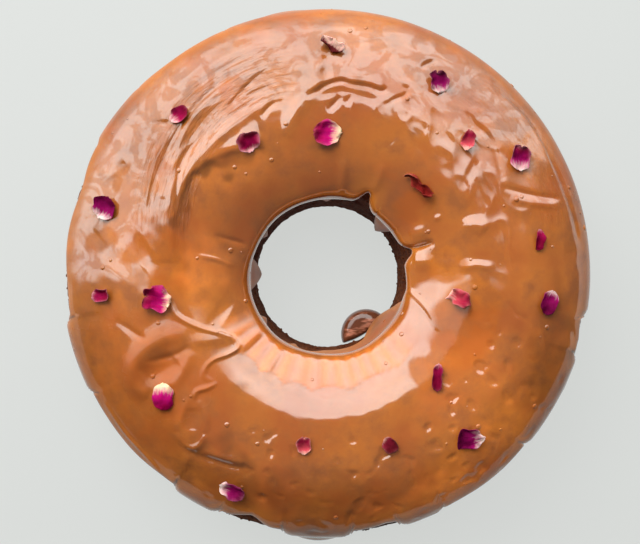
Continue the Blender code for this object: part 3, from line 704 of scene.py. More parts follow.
class Shader(Nodes):
    """The nodes of one material, which end in a Principled shader."""

    def __init__(self, name):
        """Start a material with an empty tree, a Principled shader and an output."""
        self.material = bpy.data.materials.new(name)
        self.material.use_nodes = True
        self.material.node_tree.nodes.clear()
        super().__init__(self.material.node_tree, "Object")
        self.surface = self.add("ShaderNodeBsdfPrincipled")
        self.add("ShaderNodeOutputMaterial", {"Surface": self.surface.outputs["BSDF"]})

    def set(self, **values):
        """Feed sockets of the Principled shader by name, with underscores for spaces."""
        for key, value in values.items():
            self.feed(self.surface.inputs[key.replace("_", " ")], value)

    def attribute(self, name):
        """A point attribute's value."""
        return self.add("ShaderNodeAttribute", attribute_name=name).outputs["Fac"]

    def brightened(self, tone, value):
        """A colour made brighter or darker."""
        return self.add("ShaderNodeHueSaturation", {"Color": tone, "Value": value}).outputs["Color"]

    def ramp(self, factor, stops):
        """A colour ramp on a factor."""
        node = self.add("ShaderNodeValToRGB", {"Fac": factor})
        points = node.color_ramp.elements
        while len(points) < len(stops):
            points.new(0.5)
        for point, (position, value) in zip(points, stops):
            point.position = position
            point.color = (*value, 1.0)
        return node.outputs["Color"]

    def bump(self, *layers):
        """Bump layers of height socket, distance in metres and strength, one over the other."""
        inputs = {}
        for height, distance, strength in layers:
            inputs.update({"Height": height, "Distance": distance, "Strength": strength})
            inputs["Normal"] = self.add("ShaderNodeBump", inputs).outputs["Normal"]
        self.set(Normal=inputs["Normal"])


def icing_material(settings):
    """Glossy set icing: warmer where it is thin, lighter and darker by its tone attribute, which holds
    painted light and shade, with fine drag lines in the spatula strokes.
    """
    shader = Shader("poured_icing")
    cloud, blotches = shader.noise(38.0, 4.0, 0.55), shader.noise(75.0, 5.0, 0.62)
    base = shader.mix(shader.spread(cloud, 0.0, 0.75, 0.38, 0.62), settings.colour, settings.warm)
    base = shader.mix(shader.spread(blotches, 0.0, 0.8, 0.46, 0.66), base, settings.dull)
    base = shader.mix(shader.times(shader.attribute("thin"), 0.85), base, settings.warm)
    # Tone lightens and darkens the colour: partly the icing's own tone, partly painted light, painted shade
    # and the painted glow under the hole's lip
    base = shader.brightened(base, shader.math("ADD", shader.attribute("tone"), 1.0))
    worked, dragged = shader.attribute("worked"), shader.attribute("dragged")
    polish = shader.spread(shader.noise(120.0, 3.0, 0.6), -0.03, 0.04, 0.3, 0.7)
    roughness = shader.math("ADD", shader.spread(worked, 0.10, 0.46, 0.0, 1.6), polish)
    patches = shader.noise(75.0, 5.0, 0.6, distortion=1.6)
    dull = shader.times(shader.spread(patches, 1.0, 0.0, 0.45, 0.52), shader.times(worked, 0.55))
    across, along = shader.attribute("across"), shader.attribute("along")
    drag = shader.vector(shader.times(across, 620.0), shader.times(along, 9.0))
    lines = shader.noise(1.0, 3.0, 0.65, drag)
    scraped = shader.times(shader.spread(lines, 0.0, 0.75, 0.53, 0.60), dragged)
    gloss = shader.attribute("gloss")
    for loss in (dull, scraped):
        gloss = shader.times(gloss, shader.math("SUBTRACT", 1.0, loss))
    lines = shader.times(shader.math("SUBTRACT", lines, 0.5), dragged)
    ripple, grain = shader.noise(150.0), shader.noise(900.0, 2.0)
    shader.bump((ripple, 0.0004, 0.3), (lines, 0.0014, 0.6), (grain, 0.00005, 0.3))
    shader.set(Base_Color=base, Roughness=roughness, IOR=1.5, Specular_IOR_Level=0.28)
    shader.set(Coat_Weight=gloss, Coat_IOR=2.3, Coat_Roughness=0.06)
    shader.set(Subsurface_Weight=0.12, Subsurface_Radius=(1.0, 0.35, 0.12), Subsurface_Scale=0.003)
    return shader.material


def drop_material(settings):
    """The darker set drop in the hole, with slanted paler streaks on its top that are painted highlights."""
    shader = Shader("set_drop")
    deep = settings.drop_colour
    # Painted highlight: a paler colour laid in slanted streaks on the drop's top only
    light = tuple(3.4 * channel + 0.06 for channel in deep)
    slanted = shader.add("ShaderNodeMapping", {
        "Vector": shader.place, "Rotation": (0.0, 0.0, math.radians(-36.0)), "Scale": (70.0, 330.0, 60.0)})
    cloud = shader.noise(1.0, 3.0, 0.55, slanted.outputs["Vector"])
    level = shader.add("ShaderNodeSeparateXYZ", {0: shader.place}).outputs[2]
    on_top = shader.spread(level, 0.0, 1.0, 0.0030, 0.0041)
    painted_highlight = shader.times(shader.spread(cloud, 0.0, 0.9, 0.50, 0.58), on_top)
    shader.bump((shader.noise(260.0), 0.0003, 0.5))
    shader.set(Base_Color=shader.mix(painted_highlight, deep, light), Roughness=shader.spread(cloud, 0.05, 0.12))
    shader.set(IOR=1.5, Specular_IOR_Level=0.9, Coat_Weight=0.5, Coat_Roughness=0.04)
    return shader.material


def sponge_material(settings):
    """Dark moist crumb with open pores, darkened inside by painted shade."""
    shader = Shader("dark_crumb")
    patches, flecks = shader.noise(130.0, 6.0, 0.7), shader.noise(700.0, 4.0, 0.6)
    blend = shader.times(
        shader.spread(patches, 0.1, 1.0, 0.35, 0.7), shader.spread(flecks, 0.2, 1.3, 0.3, 0.7))
    tone = shader.mix(blend, settings.colour, settings.crust)
    cells = shader.add("ShaderNodeTexVoronoi", {"Scale": 520.0, "Vector": shader.place}, feature="F1")
    pores = shader.spread(cells.outputs["Distance"], 0.25, 1.0, 0.05, 0.4)
    # Painted shade: the pores are darkened towards 0.35 of the crumb's colour where their pits sink in
    dark = tuple(0.35 * channel for channel in settings.colour)
    shader.bump((pores, 0.0009, 0.7), (flecks, 0.0006, 0.7), (shader.noise(2400.0, 3.0, 0.6), 0.0002, 0.6))
    shader.set(Base_Color=shader.mix(pores, dark, tone), Roughness=shader.spread(flecks, 0.62, 0.95))
    shader.set(IOR=1.4, Specular_IOR_Level=0.08)
    return shader.material


def petal_material(name, colours):
    """Rose petal from its pale base to its deep tip, with veins along it."""
    shader = Shader(f"petal_{name}")
    base, middle, tip = colours
    along = shader.attribute("tipward")
    fan = shader.vector(shader.times(shader.attribute("sideways"), 7.0), shader.times(along, 1.3))
    veins, blotch = shader.noise(1.0, 4.0, 0.65, fan), shader.noise(420.0, 3.0, 0.6)
    place = shader.math("SUBTRACT", along, shader.attribute("pale_part"))
    for pattern, wander in ((veins, 0.75), (blotch, 0.35)):
        place = shader.math("ADD", place, shader.times(shader.math("SUBTRACT", pattern, 0.5), wander))
    tone = shader.ramp(shader.math("ADD", place, 0.25), ((0.06, base), (0.40, middle), (0.88, tip)))
    edge = tuple(0.5 * (first + second) for first, second in zip(base, middle))
    tone = shader.mix(shader.attribute("rim"), tone, edge)
    tone = shader.brightened(tone, shader.spread(veins, 0.62, 1.15, 0.3, 0.7))
    shader.bump((veins, 0.0005, 0.6), (shader.noise(1500.0, 3.0, 0.6), 0.0001, 0.5))
    shader.set(Base_Color=tone, Roughness=shader.spread(blotch, 0.45, 0.65), IOR=1.4, Specular_IOR_Level=0.05)
    shader.set(Subsurface_Weight=0.15, Subsurface_Radius=(1.0, 0.15, 0.35), Subsurface_Scale=0.001)
    return shader.material


def floor_material(settings):
    """Plain pale floor with the faintest mottling."""
    shader = Shader("pale_floor")
    base = settings.floor
    mottled = shader.mix(shader.noise(6.0, 2.0), base, tuple(0.96 * channel for channel in base))
    shader.set(Base_Color=mottled, Roughness=0.45)
    shader.set(Emission_Color=base, Emission_Strength=settings.floor_glow / base[0])
    return shader.material


def scatter_tree():
    """Geometry Nodes that scatter small rough bits over a surface where its point attribute says so."""
    tree = bpy.data.node_groups.new("scattered_bits", "GeometryNodeTree")
    for label, kind in (
            ("Geometry", "Geometry"), ("Density", "Float"), ("Seed", "Int"), ("Smallest", "Float"),
            ("Largest", "Float"), ("Flatness", "Float"), ("Sink", "Float"), ("Raggedness", "Float"),
            ("Material", "Material")):
        tree.interface.new_socket(label, in_out="INPUT", socket_type=f"NodeSocket{kind}")
    tree.interface.new_socket("Geometry", in_out="OUTPUT", socket_type="NodeSocketGeometry")
    nodes = Nodes(tree)
    given = nodes.add("NodeGroupInput").outputs
    amount = nodes.add("GeometryNodeInputNamedAttribute", {"Name": "amount"}, data_type="FLOAT")
    density = nodes.times(given["Density"], amount.outputs["Attribute"])
    points = nodes.add("GeometryNodeDistributePointsOnFaces", {
        "Mesh": given["Geometry"], "Density": density, "Seed": given["Seed"]}, distribute_method="RANDOM")
    bit = nodes.add("GeometryNodeMeshIcoSphere", {"Radius": 1.0, "Subdivisions": 2})
    size = nodes.add("FunctionNodeRandomValue", {
        2: given["Smallest"], 3: given["Largest"], "Seed": given["Seed"]}, data_type="FLOAT").outputs[1]
    instances = nodes.add("GeometryNodeInstanceOnPoints", {
        "Points": points.outputs["Points"], "Instance": bit.outputs["Mesh"],
        "Rotation": points.outputs["Rotation"],
        "Scale": nodes.vector(size, size, nodes.times(size, given["Flatness"]))})
    depth = nodes.times(nodes.times(given["Sink"], -1.0), given["Largest"])
    sunk = nodes.add("GeometryNodeTranslateInstances", {
        "Instances": instances.outputs["Instances"], "Translation": nodes.vector(z=depth)})
    real = nodes.add("GeometryNodeRealizeInstances", {"Geometry": sunk.outputs["Instances"]})
    rag = nodes.add("ShaderNodeTexNoise", {"Scale": 900.0}, noise_dimensions="3D")
    ragged = nodes.add(
        "ShaderNodeVectorMath", {0: rag.outputs["Color"], 1: (0.5, 0.5, 0.5)}, operation="SUBTRACT")
    raggedness = nodes.times(given["Raggedness"], given["Largest"])
    offset = nodes.add(
        "ShaderNodeVectorMath", {0: ragged.outputs[0], "Scale": raggedness}, operation="SCALE")
    moved = nodes.add("GeometryNodeSetPosition", {
        "Geometry": real.outputs["Geometry"], "Offset": offset.outputs[0]})
    shaded = nodes.add("GeometryNodeSetShadeSmooth", {"Geometry": moved.outputs["Geometry"]})
    finish = nodes.add("GeometryNodeSetMaterial", {
        "Geometry": shaded.outputs["Geometry"], "Material": given["Material"]})
    nodes.add("NodeGroupOutput", {"Geometry": finish.outputs["Geometry"]})
    return tree


def scatter(name, surface, material, **values):
    """Scatter bits over a surface and give them back as one plain mesh object."""
    tree = bpy.data.node_groups.get("scattered_bits") or scatter_tree()
    carrier = show(f"{name}_carrier", surface.data)
    modifier = carrier.modifiers.new("scatter", "NODES")
    modifier.node_group = tree
    values["Material"] = material
    for item in tree.interface.items_tree:
        if item.in_out == "INPUT" and item.name in values:
            modifier[item.identifier] = values[item.name]
    shown = carrier.evaluated_get(bpy.context.evaluated_depsgraph_get())
    mesh = bpy.data.meshes.new_from_object(shown)
    bpy.data.objects.remove(carrier, do_unlink=True)
    mesh.name = name
    if not mesh.polygons:
        raise RuntimeError(f"nothing was scattered for {name}")
    return show(name, mesh)


class CAKE_OT_stage(Operator):
    """Lay the floor, light it from one side and set the camera straight above"""

    bl_idname = "cake.stage"
    bl_label = "Stage"

    def execute(self, context):
        """Build the stage."""
        settings = context.scene.cake_stage
        self.floor(settings)
        self.world(context, settings)
        self.lamp(settings)
        self.camera(context, settings)
        context.scene.view_settings.view_transform = "Standard"
        return {"FINISHED"}

    def floor(self, settings):
        """One wide plane just under the cake."""
        turns = ((-1, -1), (1, -1), (1, 1), (-1, 1))
        corners = np.array([(FLOOR_HALF * x, FLOOR_HALF * y, FLOOR_LEVEL) for x, y in turns])
        floor = add_mesh("floor", corners, [(0, 1, 2, 3)], floor_material(settings))
        floor.visible_diffuse = False

    def world(self, context, settings):
        """A dim room with one bright side that ends short of the zenith."""
        world = bpy.data.worlds.new("room")
        context.scene.world = world
        world.use_nodes = True
        nodes = Nodes(world.node_tree, "Generated")

        def share(direction, start, end):
            """How far the light from somewhere lies towards a direction."""
            dot = nodes.add("ShaderNodeVectorMath", {0: nodes.place, 1: direction}, operation="DOT_PRODUCT")
            return nodes.spread(
                dot.outputs["Value"], 0.0, 1.0, start, end, interpolation_type="SMOOTHSTEP")

        def tinted(strength, tints):
            """A tint at some strength."""
            return tuple(strength * tint for tint in tints)

        up = (0.0, 0.0, 1.0)
        from_side = settings.window_from + math.pi / 2
        to_side = settings.window_to - math.pi / 2
        gap = settings.zenith_gap
        bright = nodes.spread(nodes.noise(3.2, 2.0), *WINDOW_UNEVENNESS, 0.3, 0.7)
        for limit in (
                share((math.cos(from_side), math.sin(from_side), 0.0), *WINDOW_START_FADE),
                share((math.cos(to_side), math.sin(to_side), 0.0), *WINDOW_END_FADE),
                share(up, math.cos(gap), math.cos(gap + math.radians(WINDOW_TOP_FADE))),
                share(up, *(math.cos(math.radians(angle)) for angle in WINDOW_BOTTOM_FADE))):
            bright = nodes.times(bright, limit)
        room = nodes.mix(
            share(up, 0.0, -0.1), tinted(settings.room_strength, ROOM_TINT),
            tinted(settings.below_strength, BELOW_TINT))
        room = nodes.mix(bright, room, tinted(settings.window_strength, WINDOW_TINT))
        nodes.feed(nodes.tree.nodes["Background"].inputs["Color"], room)

    def lamp(self, settings):
        """A soft lamp from the bright side for gentle shadows."""
        data = bpy.data.lights.new("soft_lamp", "AREA")
        data.shape = "DISK"
        data.size = LAMP_SIZE
        data.energy = settings.lamp_power
        lamp = show("soft_lamp", data)
        lamp.location = LAMP_PLACE
        lamp.visible_glossy = False
        lamp.rotation_euler = (-Vector(LAMP_PLACE)).to_track_quat("-Z", "Y").to_euler()

    def camera(self, context, settings):
        """Straight above, with the picture's top towards plus Y."""
        data = bpy.data.cameras.new("camera")
        data.sensor_width = SENSOR_WIDTH
        data.lens = settings.focal_pixels * SENSOR_WIDTH / PICTURE_WIDTH
        camera = show("camera", data)
        camera.location = (settings.camera_x, settings.camera_y, settings.camera_height)
        context.scene.camera = camera


class CAKE_OT_sponge(Operator):
    """Make the sponge ring with its torn, crumbed walls"""

    bl_idname = "cake.sponge"
    bl_label = "Sponge ring"

    angles = 560
    foot_rows = 4
    wall_rows = 34
    covered_rows = 5

    def execute(self, context):
        """Build the ring and its crumbs."""
        settings = context.scene.cake_sponge
        section = RingSection(settings)
        angle = np.arange(self.angles) * FULL_TURN / self.angles
        first, last = section.edges(angle)
        every = np.ones((self.angles, 1))
        hole_foot = every * section.run_at_height(settings.foot_rounding, False)
        foot = every * section.run_at_height(settings.foot_rounding, True)
        runs = np.concatenate([
            self.between(every * section.run[0], hole_foot, self.foot_rows),
            self.between(hole_foot, first[:, None], self.wall_rows),
            section.rows_between(first, last, self.covered_rows, self.covered_rows)[:, :-1],
            self.between(last[:, None], foot, self.wall_rows),
            self.between(foot, every * section.run[-1], self.foot_rows),
            every * section.run[-1]], axis=1)
        turn = angle[:, None]
        flat = section.point(turn, runs, 0.0).reshape(-1, 3)
        bare = self.bare(section, runs, first, last)
        lift = self.crumb(flat, settings.crumb_depth).reshape(runs.shape) * bare
        points = section.point(turn, runs, lift)[:, ::-1].reshape(-1, 3)
        amount = (bare * smooth(turn_between(turn, 90.0), 20.0, 60.0))[:, ::-1].reshape(-1)
        piece = add_mesh(
            "sponge_ring", points, ring_quads(self.angles, runs.shape[1]), sponge_material(settings),
            {"amount": amount})
        crumbs = scatter(
            "sponge_crumbs", piece, piece.data.materials[0], Density=36000.0, Seed=4, Smallest=0.25 * MM,
            Largest=0.8 * MM, Flatness=0.8, Sink=0.2, Raggedness=0.9)
        finish_piece(piece, "sponge")
        finish_piece(crumbs, None)
        return {"FINISHED"}

    @staticmethod
    def between(start, end, rows):
        """Rows from one run to another, without the last."""
        return start + (end - start) * np.linspace(0.0, 1.0, rows, endpoint=False)[None, :]

    @staticmethod
    def bare(section, runs, first, last):
        """One on the walls that the icing leaves bare, fading out at its edge and at the foot."""
        margin = 1.2 * MM
        outside = smooth(runs - last[:, None], margin, 4.0 * margin)
        inside = smooth(first[:, None] - runs, margin, 4.0 * margin)
        height = np.interp(runs, section.run, section.height)
        return np.maximum(outside, inside) * smooth(height, 0.5 * MM, 3.0 * MM)

    @staticmethod
    def crumb(points, depth):
        """Torn crumb: rough inward pits with a few grains that stand out."""
        coarse = noise_at(points, 110.0, 1.0)
        middle = noise_at(points, 330.0, 2.0)
        fine = noise_at(points, 800.0, 3.0)
        pits = -np.clip(noise_at(points, 210.0, 5.0) - 0.15, 0.0, 1.0)
        return depth * (0.30 * coarse + 0.30 * middle + 0.22 * fine + 1.6 * pits - 0.1)


def from_hem(runs, hem, turn_width, toward):
    """Distance of every place in a sheet to its hem, with the hem's upright sides taken in."""
    columns = 14
    best = np.full(runs.shape, 1.0)
    for step in range(-columns, columns + 1):
        inside = np.maximum(toward * (np.roll(hem, -step)[:, None] - runs), 0.0)
        best = np.minimum(best, np.hypot(step * turn_width, inside))
    return best


class CAKE_OT_icing(Operator):
    """Pour the icing over the ring, with its tongues, drips and spatula marks"""

    bl_idname = "cake.icing"
    bl_label = "Poured icing"

    def execute(self, context):
        """Build the sheet of icing and its bubbles."""
        settings = context.scene.cake_icing
        section = RingSection(context.scene.cake_sponge)
        angle = np.arange(settings.angles) * FULL_TURN / settings.angles
        first, last = section.edges(angle)
        edge_rows = np.array(HEM_ROWS)[None, :] * settings.hem_bead
        inner, outer = first[:, None] + edge_rows, last[:, None] - edge_rows
        middle = section.rows_between(inner[:, -1], outer[:, -1], settings.inner_rows, settings.outer_rows)
        runs = np.concatenate([inner[:, :-1], middle, outer[:, -2::-1]], axis=1)
        under = section.rows_between(first, last, settings.under_rows, settings.under_rows)
        over = self.upper_face(section, settings, angle[:, None], runs, first, last)
        below = section.point(angle[:, None], under, settings.gap)
        points = np.concatenate([over[:, ::-1], below], axis=1)
        piece = add_mesh(
            "icing_sheet", points.reshape(-1, 3), ring_quads(settings.angles, points.shape[1]),
            icing_material(settings), self.values(section, points, runs, under, first, last))
        bubbles = scatter(
            "icing_bubbles", piece, piece.data.materials[0], Density=1500.0, Seed=7, Smallest=0.35 * MM,
            Largest=1.3 * MM, Flatness=0.34, Sink=0.10, Raggedness=0.0)
        finish_piece(piece, "icing")
        finish_piece(bubbles, None)
        return {"FINISHED"}

    def upper_face(self, section, settings, turn, runs, first, last):
        """Upper face of the sheet at every angle and run."""
        sponge = section.sponge
        height = np.interp(runs, section.run, section.height)
        thinning = smooth(np.abs(runs), *THINNING_RUNS)
        thickness = settings.crown_thickness + (settings.wall_thickness - settings.crown_thickness) * thinning
        filled = section.bulge(runs, height) * (1.0 - section.bare(turn))
        filled = filled * smooth(height, 26.0 * MM, 40.0 * MM)
        start = section.run_at_height(sponge.shoulder_height, True) - SWELL_LEAD
        proud = swell(turn, OUTER_TONGUES) * smooth(runs, start, start + SWELL_RUN)
        thickness = thickness + 0.5 * (proud + filled + np.hypot(proud - filled, SWELL_BLEND) - SWELL_BLEND)
        start = section.run_at_height(sponge.hole_top_height, False) + SWELL_LEAD
        thickness = thickness + swell(turn, INNER_TONGUES) * smooth(runs, start, start - SWELL_RUN)
        lip = np.exp(-((height - LIP_HEIGHT) / LIP_SPREAD) ** 2) * (runs < 0.0)
        uneven = 1.0 + 0.25 * wave(turn, 3, 20.0) + 0.15 * wave(turn, 7, 80.0)
        thickness = thickness + settings.lip_bead * lip * uneven
        flat = smooth(np.interp(runs, section.run, section.normal_z), 0.2, 0.6)
        place = section.point(turn, runs, thickness).reshape(-1, 3)
        relief = self.relief(place, settings).reshape(runs.shape)
        waves = self.waves(place, settings.swell_height).reshape(runs.shape)
        thickness = thickness + relief * flat + waves * (0.35 + 0.65 * flat)
        bead = settings.hem_bead + 0.3 * thickness
        share = np.clip(self.from_edge(section, runs, first, last) / bead, 0.0, 1.0)
        rounding = np.sqrt(1.0 - (1.0 - share) ** 2)
        lift = settings.gap + settings.hem_thickness + (thickness - settings.hem_thickness) * rounding
        return section.point(turn, runs, lift)

    @staticmethod
    def from_edge(section, runs, first, last):
        """Distance of every place to the nearest hem."""
        turn = 2.0 * math.pi / len(first)
        inner = from_hem(runs, first, turn * section.sponge.hole_top_radius, -1.0)
        return np.minimum(inner, from_hem(runs, last, turn * section.sponge.shoulder_radius, 1.0))

    @staticmethod
    def relief(place, settings):
        """Every spatula mark and drag line, the fluting of the slope below the hole, and pits."""
        seen = place[:, :2]
        angle, radius = polar(seen)
        total = mark_relief(seen, TOP_MARKS + RIGHT_MARKS + HOLE_MARKS)
        total += 0.75 * mark_relief(seen, BUNDLE_MARKS) + 0.55 * mark_relief(seen, LEFT_MARKS + LOWER_MARKS)
        slope = smooth(radius, 38, 43) * smooth(radius, 56, 48) * facing(angle, *FLUTED_SIDE)
        total += MM * slope * (0.20 * wave(angle, 17) + 0.24 * wave(angle, 41, 40.0))
        total += MM * CAKE_OT_icing.streaks(seen, angle, radius)
        pits = np.clip(noise_at(place, 190.0, 21.0) - 0.24, 0.0, 0.3) / 0.3
        total -= 0.55 * MM * pits * facing(angle, *PITTED_SIDE) * smooth(radius, 66, 80)
        return total * settings.relief

    @staticmethod
    def streaks(seen, angle, radius):
        """Shallow drag lines in mm: round the outer half of the top, and close together in the bundle."""
        turn = (angle - SEAM) % FULL_TURN
        mask = facing(angle, *STREAKED_SIDE) * smooth(radius, 72, 84)
        total = 0.30 * mask * noise_over(radius / 4.2, turn / 17.0, 1.0, 9.0)
        mask = smooth(radius, 80, 92) * smooth(turn_between(angle, SEAM), 15.0, 50.0)
        total += 0.16 * mask * noise_over(radius / 4.2, turn / 17.0, 0.8, 12.0)
        cells = noise_over(radius / 9.0, turn / 9.0, 1.0, 18.0)
        web = (1.0 - np.clip(2.2 * np.abs(cells), 0.0, 1.0)) ** 2
        total += 0.30 * web * facing(angle, *WEBBED_SIDE) * smooth(radius, 68, 80)
        away, side, part = from_path(seen, rounded_path(BUNDLE_LINE))
        away = away / MM
        mask = smooth(away, 17, 9) * smooth(part, 0.0, 0.2) * smooth(part, 1.0, 0.7)
        return total + 0.32 * mask * noise_over(side * away / 2.6, 5.0 * part, 1.0, 15.0)

    @staticmethod
    def waves(points, height):
        """Slow unevenness of a poured and spread surface."""
        layers = ((1.0, 26.0, 4.0), (0.45, 62.0, 6.0), (0.12, 170.0, 8.0))
        return height * sum(share * noise_at(points, scale, seed) for share, scale, seed in layers)

    @staticmethod
    def patched(moved, table, soft):
        """Sum of the soft patches of a table at places seen from above."""
        total = np.zeros(len(moved))
        for middle, long, wide, direction, change in table:
            offset = moved - np.array(middle) * MM
            turn = math.radians(direction)
            ahead = offset @ np.array((math.cos(turn), math.sin(turn))) / (long * MM)
            aside = offset @ np.array((-math.sin(turn), math.cos(turn))) / (wide * MM)
            total += change * smooth(np.hypot(ahead, aside), 1.2, 0.9 - 0.5 * soft)
        return total

    @staticmethod
    def values(section, points, runs, under, first, last):
        """What the looks need at each point: gloss, wear, tone with its painted light and shade, thinness,
        drag lines and bubbles.
        """
        all_runs = np.concatenate([runs[:, ::-1], under], axis=1)
        from_edge = CAKE_OT_icing.from_edge(section, all_runs, first, last)
        rise = np.interp(all_runs, section.run, section.normal_z)
        gloss = np.where(all_runs > 0.0, smooth(rise, 0.54, 0.82), smooth(rise, 0.10, 0.50))
        gloss = gloss * smooth(from_edge, 0.0, 5 * MM)
        bubbles = smooth(from_edge, 6 * MM, 12 * MM)
        bubbles[:, -under.shape[1]:] = 0.0
        seen = points[..., :2].reshape(-1, 2)
        return {
            **CAKE_OT_icing.finish(seen, gloss.reshape(-1), rise.reshape(-1)), **CAKE_OT_icing.drags(seen),
            "thin": smooth(from_edge, 14 * MM, 1 * MM).reshape(-1), "amount": bubbles.reshape(-1),
        }

    @staticmethod
    def drags(seen):
        """How far across and along the two spatula strokes each place lies, and how much it is dragged."""
        across, along, dragged = np.zeros((3, len(seen)))
        for line, half_width, strength in ((BUNDLE_LINE, 17.0, 1.0), (RIM_LINE, 13.0, 0.6)):
            away, side, part = from_path(seen, rounded_path(line))
            mask = strength * smooth(away, half_width * MM, 0.55 * half_width * MM)
            mask = mask * smooth(part, 0.0, 0.12) * smooth(part, 1.0, 0.85)
            stronger = mask > dragged
            across = np.where(stronger, side * away, across)
            along = np.where(stronger, part, along)
            dragged = np.maximum(dragged, mask)
        return {"across": across, "along": along, "dragged": dragged}

    @staticmethod
    def finish(seen, gloss, rise):
        """Gloss, wear and tone of each place, from its slope's gloss and how far it faces up; the tone holds
        painted light and shade and the painted glow under the hole's lip.
        """
        turn, radius = polar(seen)
        worked = facing(turn, *WORN_SIDE) * smooth(radius, 74, 88)
        dollop = smooth(np.linalg.norm(seen / MM - DOLLOP, axis=1), *DOLLOP_RADII)
        gloss = gloss * (0.92 - 0.14 * worked) * (1.0 - 0.9 * dollop)
        worked = np.maximum(worked, 0.9 * dollop)
        wander = [noise_over(seen[:, 0], seen[:, 1], 150.0, seed) for seed in (31.0, 33.0)]
        wander = 2.6 * MM * np.stack(wander, axis=-1)
        gloss = gloss * np.clip(1.0 - CAKE_OT_icing.patched(seen + wander, DULL_PATCHES, 0.0), 0.0, 1.0)
        # Tone patches: partly the icing's own tone, partly painted light and painted shade
        tone = CAKE_OT_icing.patched(seen + 3.0 * wander, TONE_AND_PAINTED_LIGHT_PATCHES, 1.0)
        lip = facing(turn, *PAINTED_GLOW_SIDE) * smooth(radius, 37, 41)
        flutes = wave(turn, 41, math.degrees(2.0) * wave(turn, 5))
        scalloped = radius + SCALLOPS * np.abs(wave(turn, 10, math.degrees(1.3) * wave(turn, 3)))
        painted_glow_band = lip * smooth(scalloped, *BAND_END)
        border = lip * smooth(np.abs(scalloped - BAND_BORDER), 0.9, 0.2)
        # Painted light: the band under the lip is lightened in flutes as a painted glow, and its gloss
        # lowered
        tone = tone + painted_glow_band * (0.46 + 0.20 * flutes)
        gloss = gloss * (1.0 - painted_glow_band * (0.27 + 0.13 * flutes) - 0.30 * border)
        gloss = gloss * (1.0 - 0.85 * facing(turn, *DULL_LOWER_SIDE) * smooth(radius, 88, 102))
        skirt = smooth(radius, *SKIRT_RADII)
        steep = smooth(rise, 0.35, 0.05) * (1.0 - skirt)
        return {
            "gloss": np.maximum(gloss, 0.08 * skirt), "worked": np.maximum(worked, 1.6 * steep), "tone": tone}


class CAKE_OT_drop(Operator):
    """Set the round drop of icing on the ground inside the hole"""

    bl_idname = "cake.drop"
    bl_label = "Set drop"

    def execute(self, context):
        """Build the drop."""
        sponge = context.scene.cake_sponge
        low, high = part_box("icing_drop")
        centre = np.array(DROP_CENTRE) * MM
        height = high.z - low.z
        turn = np.arange(DROP_SPOKES) * 2.0 * math.pi / DROP_SPOKES
        way = np.stack([np.cos(turn), np.sin(turn)], axis=1)
        wall = (np.array((sponge.hole_shift_x, sponge.hole_shift_y)), sponge.hole_base_radius - 0.5 * MM)
        pool = (np.array(DROP_POOL[0]) * MM, DROP_POOL[1] * MM)
        reach = np.full(DROP_SPOKES, 1.0)
        for middle, radius in (wall, pool):
            offset = centre - middle
            along = way @ offset
            reach = np.minimum(reach, np.sqrt(along ** 2 + radius ** 2 - offset @ offset) - along)
        points = []
        for ring in range(DROP_RINGS):
            share = math.cos(0.5 * math.pi * ring / DROP_RINGS)
            level = height * (1.0 - share ** 4) ** 0.5
            place = centre + way * (reach * share)[:, None]
            points.append(np.concatenate([place, np.full((DROP_SPOKES, 1), level)], axis=1))
        points = np.concatenate(points + [[(*centre, height)], [(*centre, 0.0)]])
        top = DROP_RINGS * DROP_SPOKES
        last = top - DROP_SPOKES
        faces = []
        for spoke in range(DROP_SPOKES):
            after = (spoke + 1) % DROP_SPOKES
            for here in range(0, last, DROP_SPOKES):
                there = here + DROP_SPOKES
                faces.append((here + spoke, here + after, there + after, there + spoke))
            faces.append((last + spoke, last + after, top))
            faces.append((after, spoke, top + 1))
        piece = add_mesh("set_drop", points, faces, drop_material(context.scene.cake_icing))
        finish_piece(piece, "icing_drop")
        return {"FINISHED"}


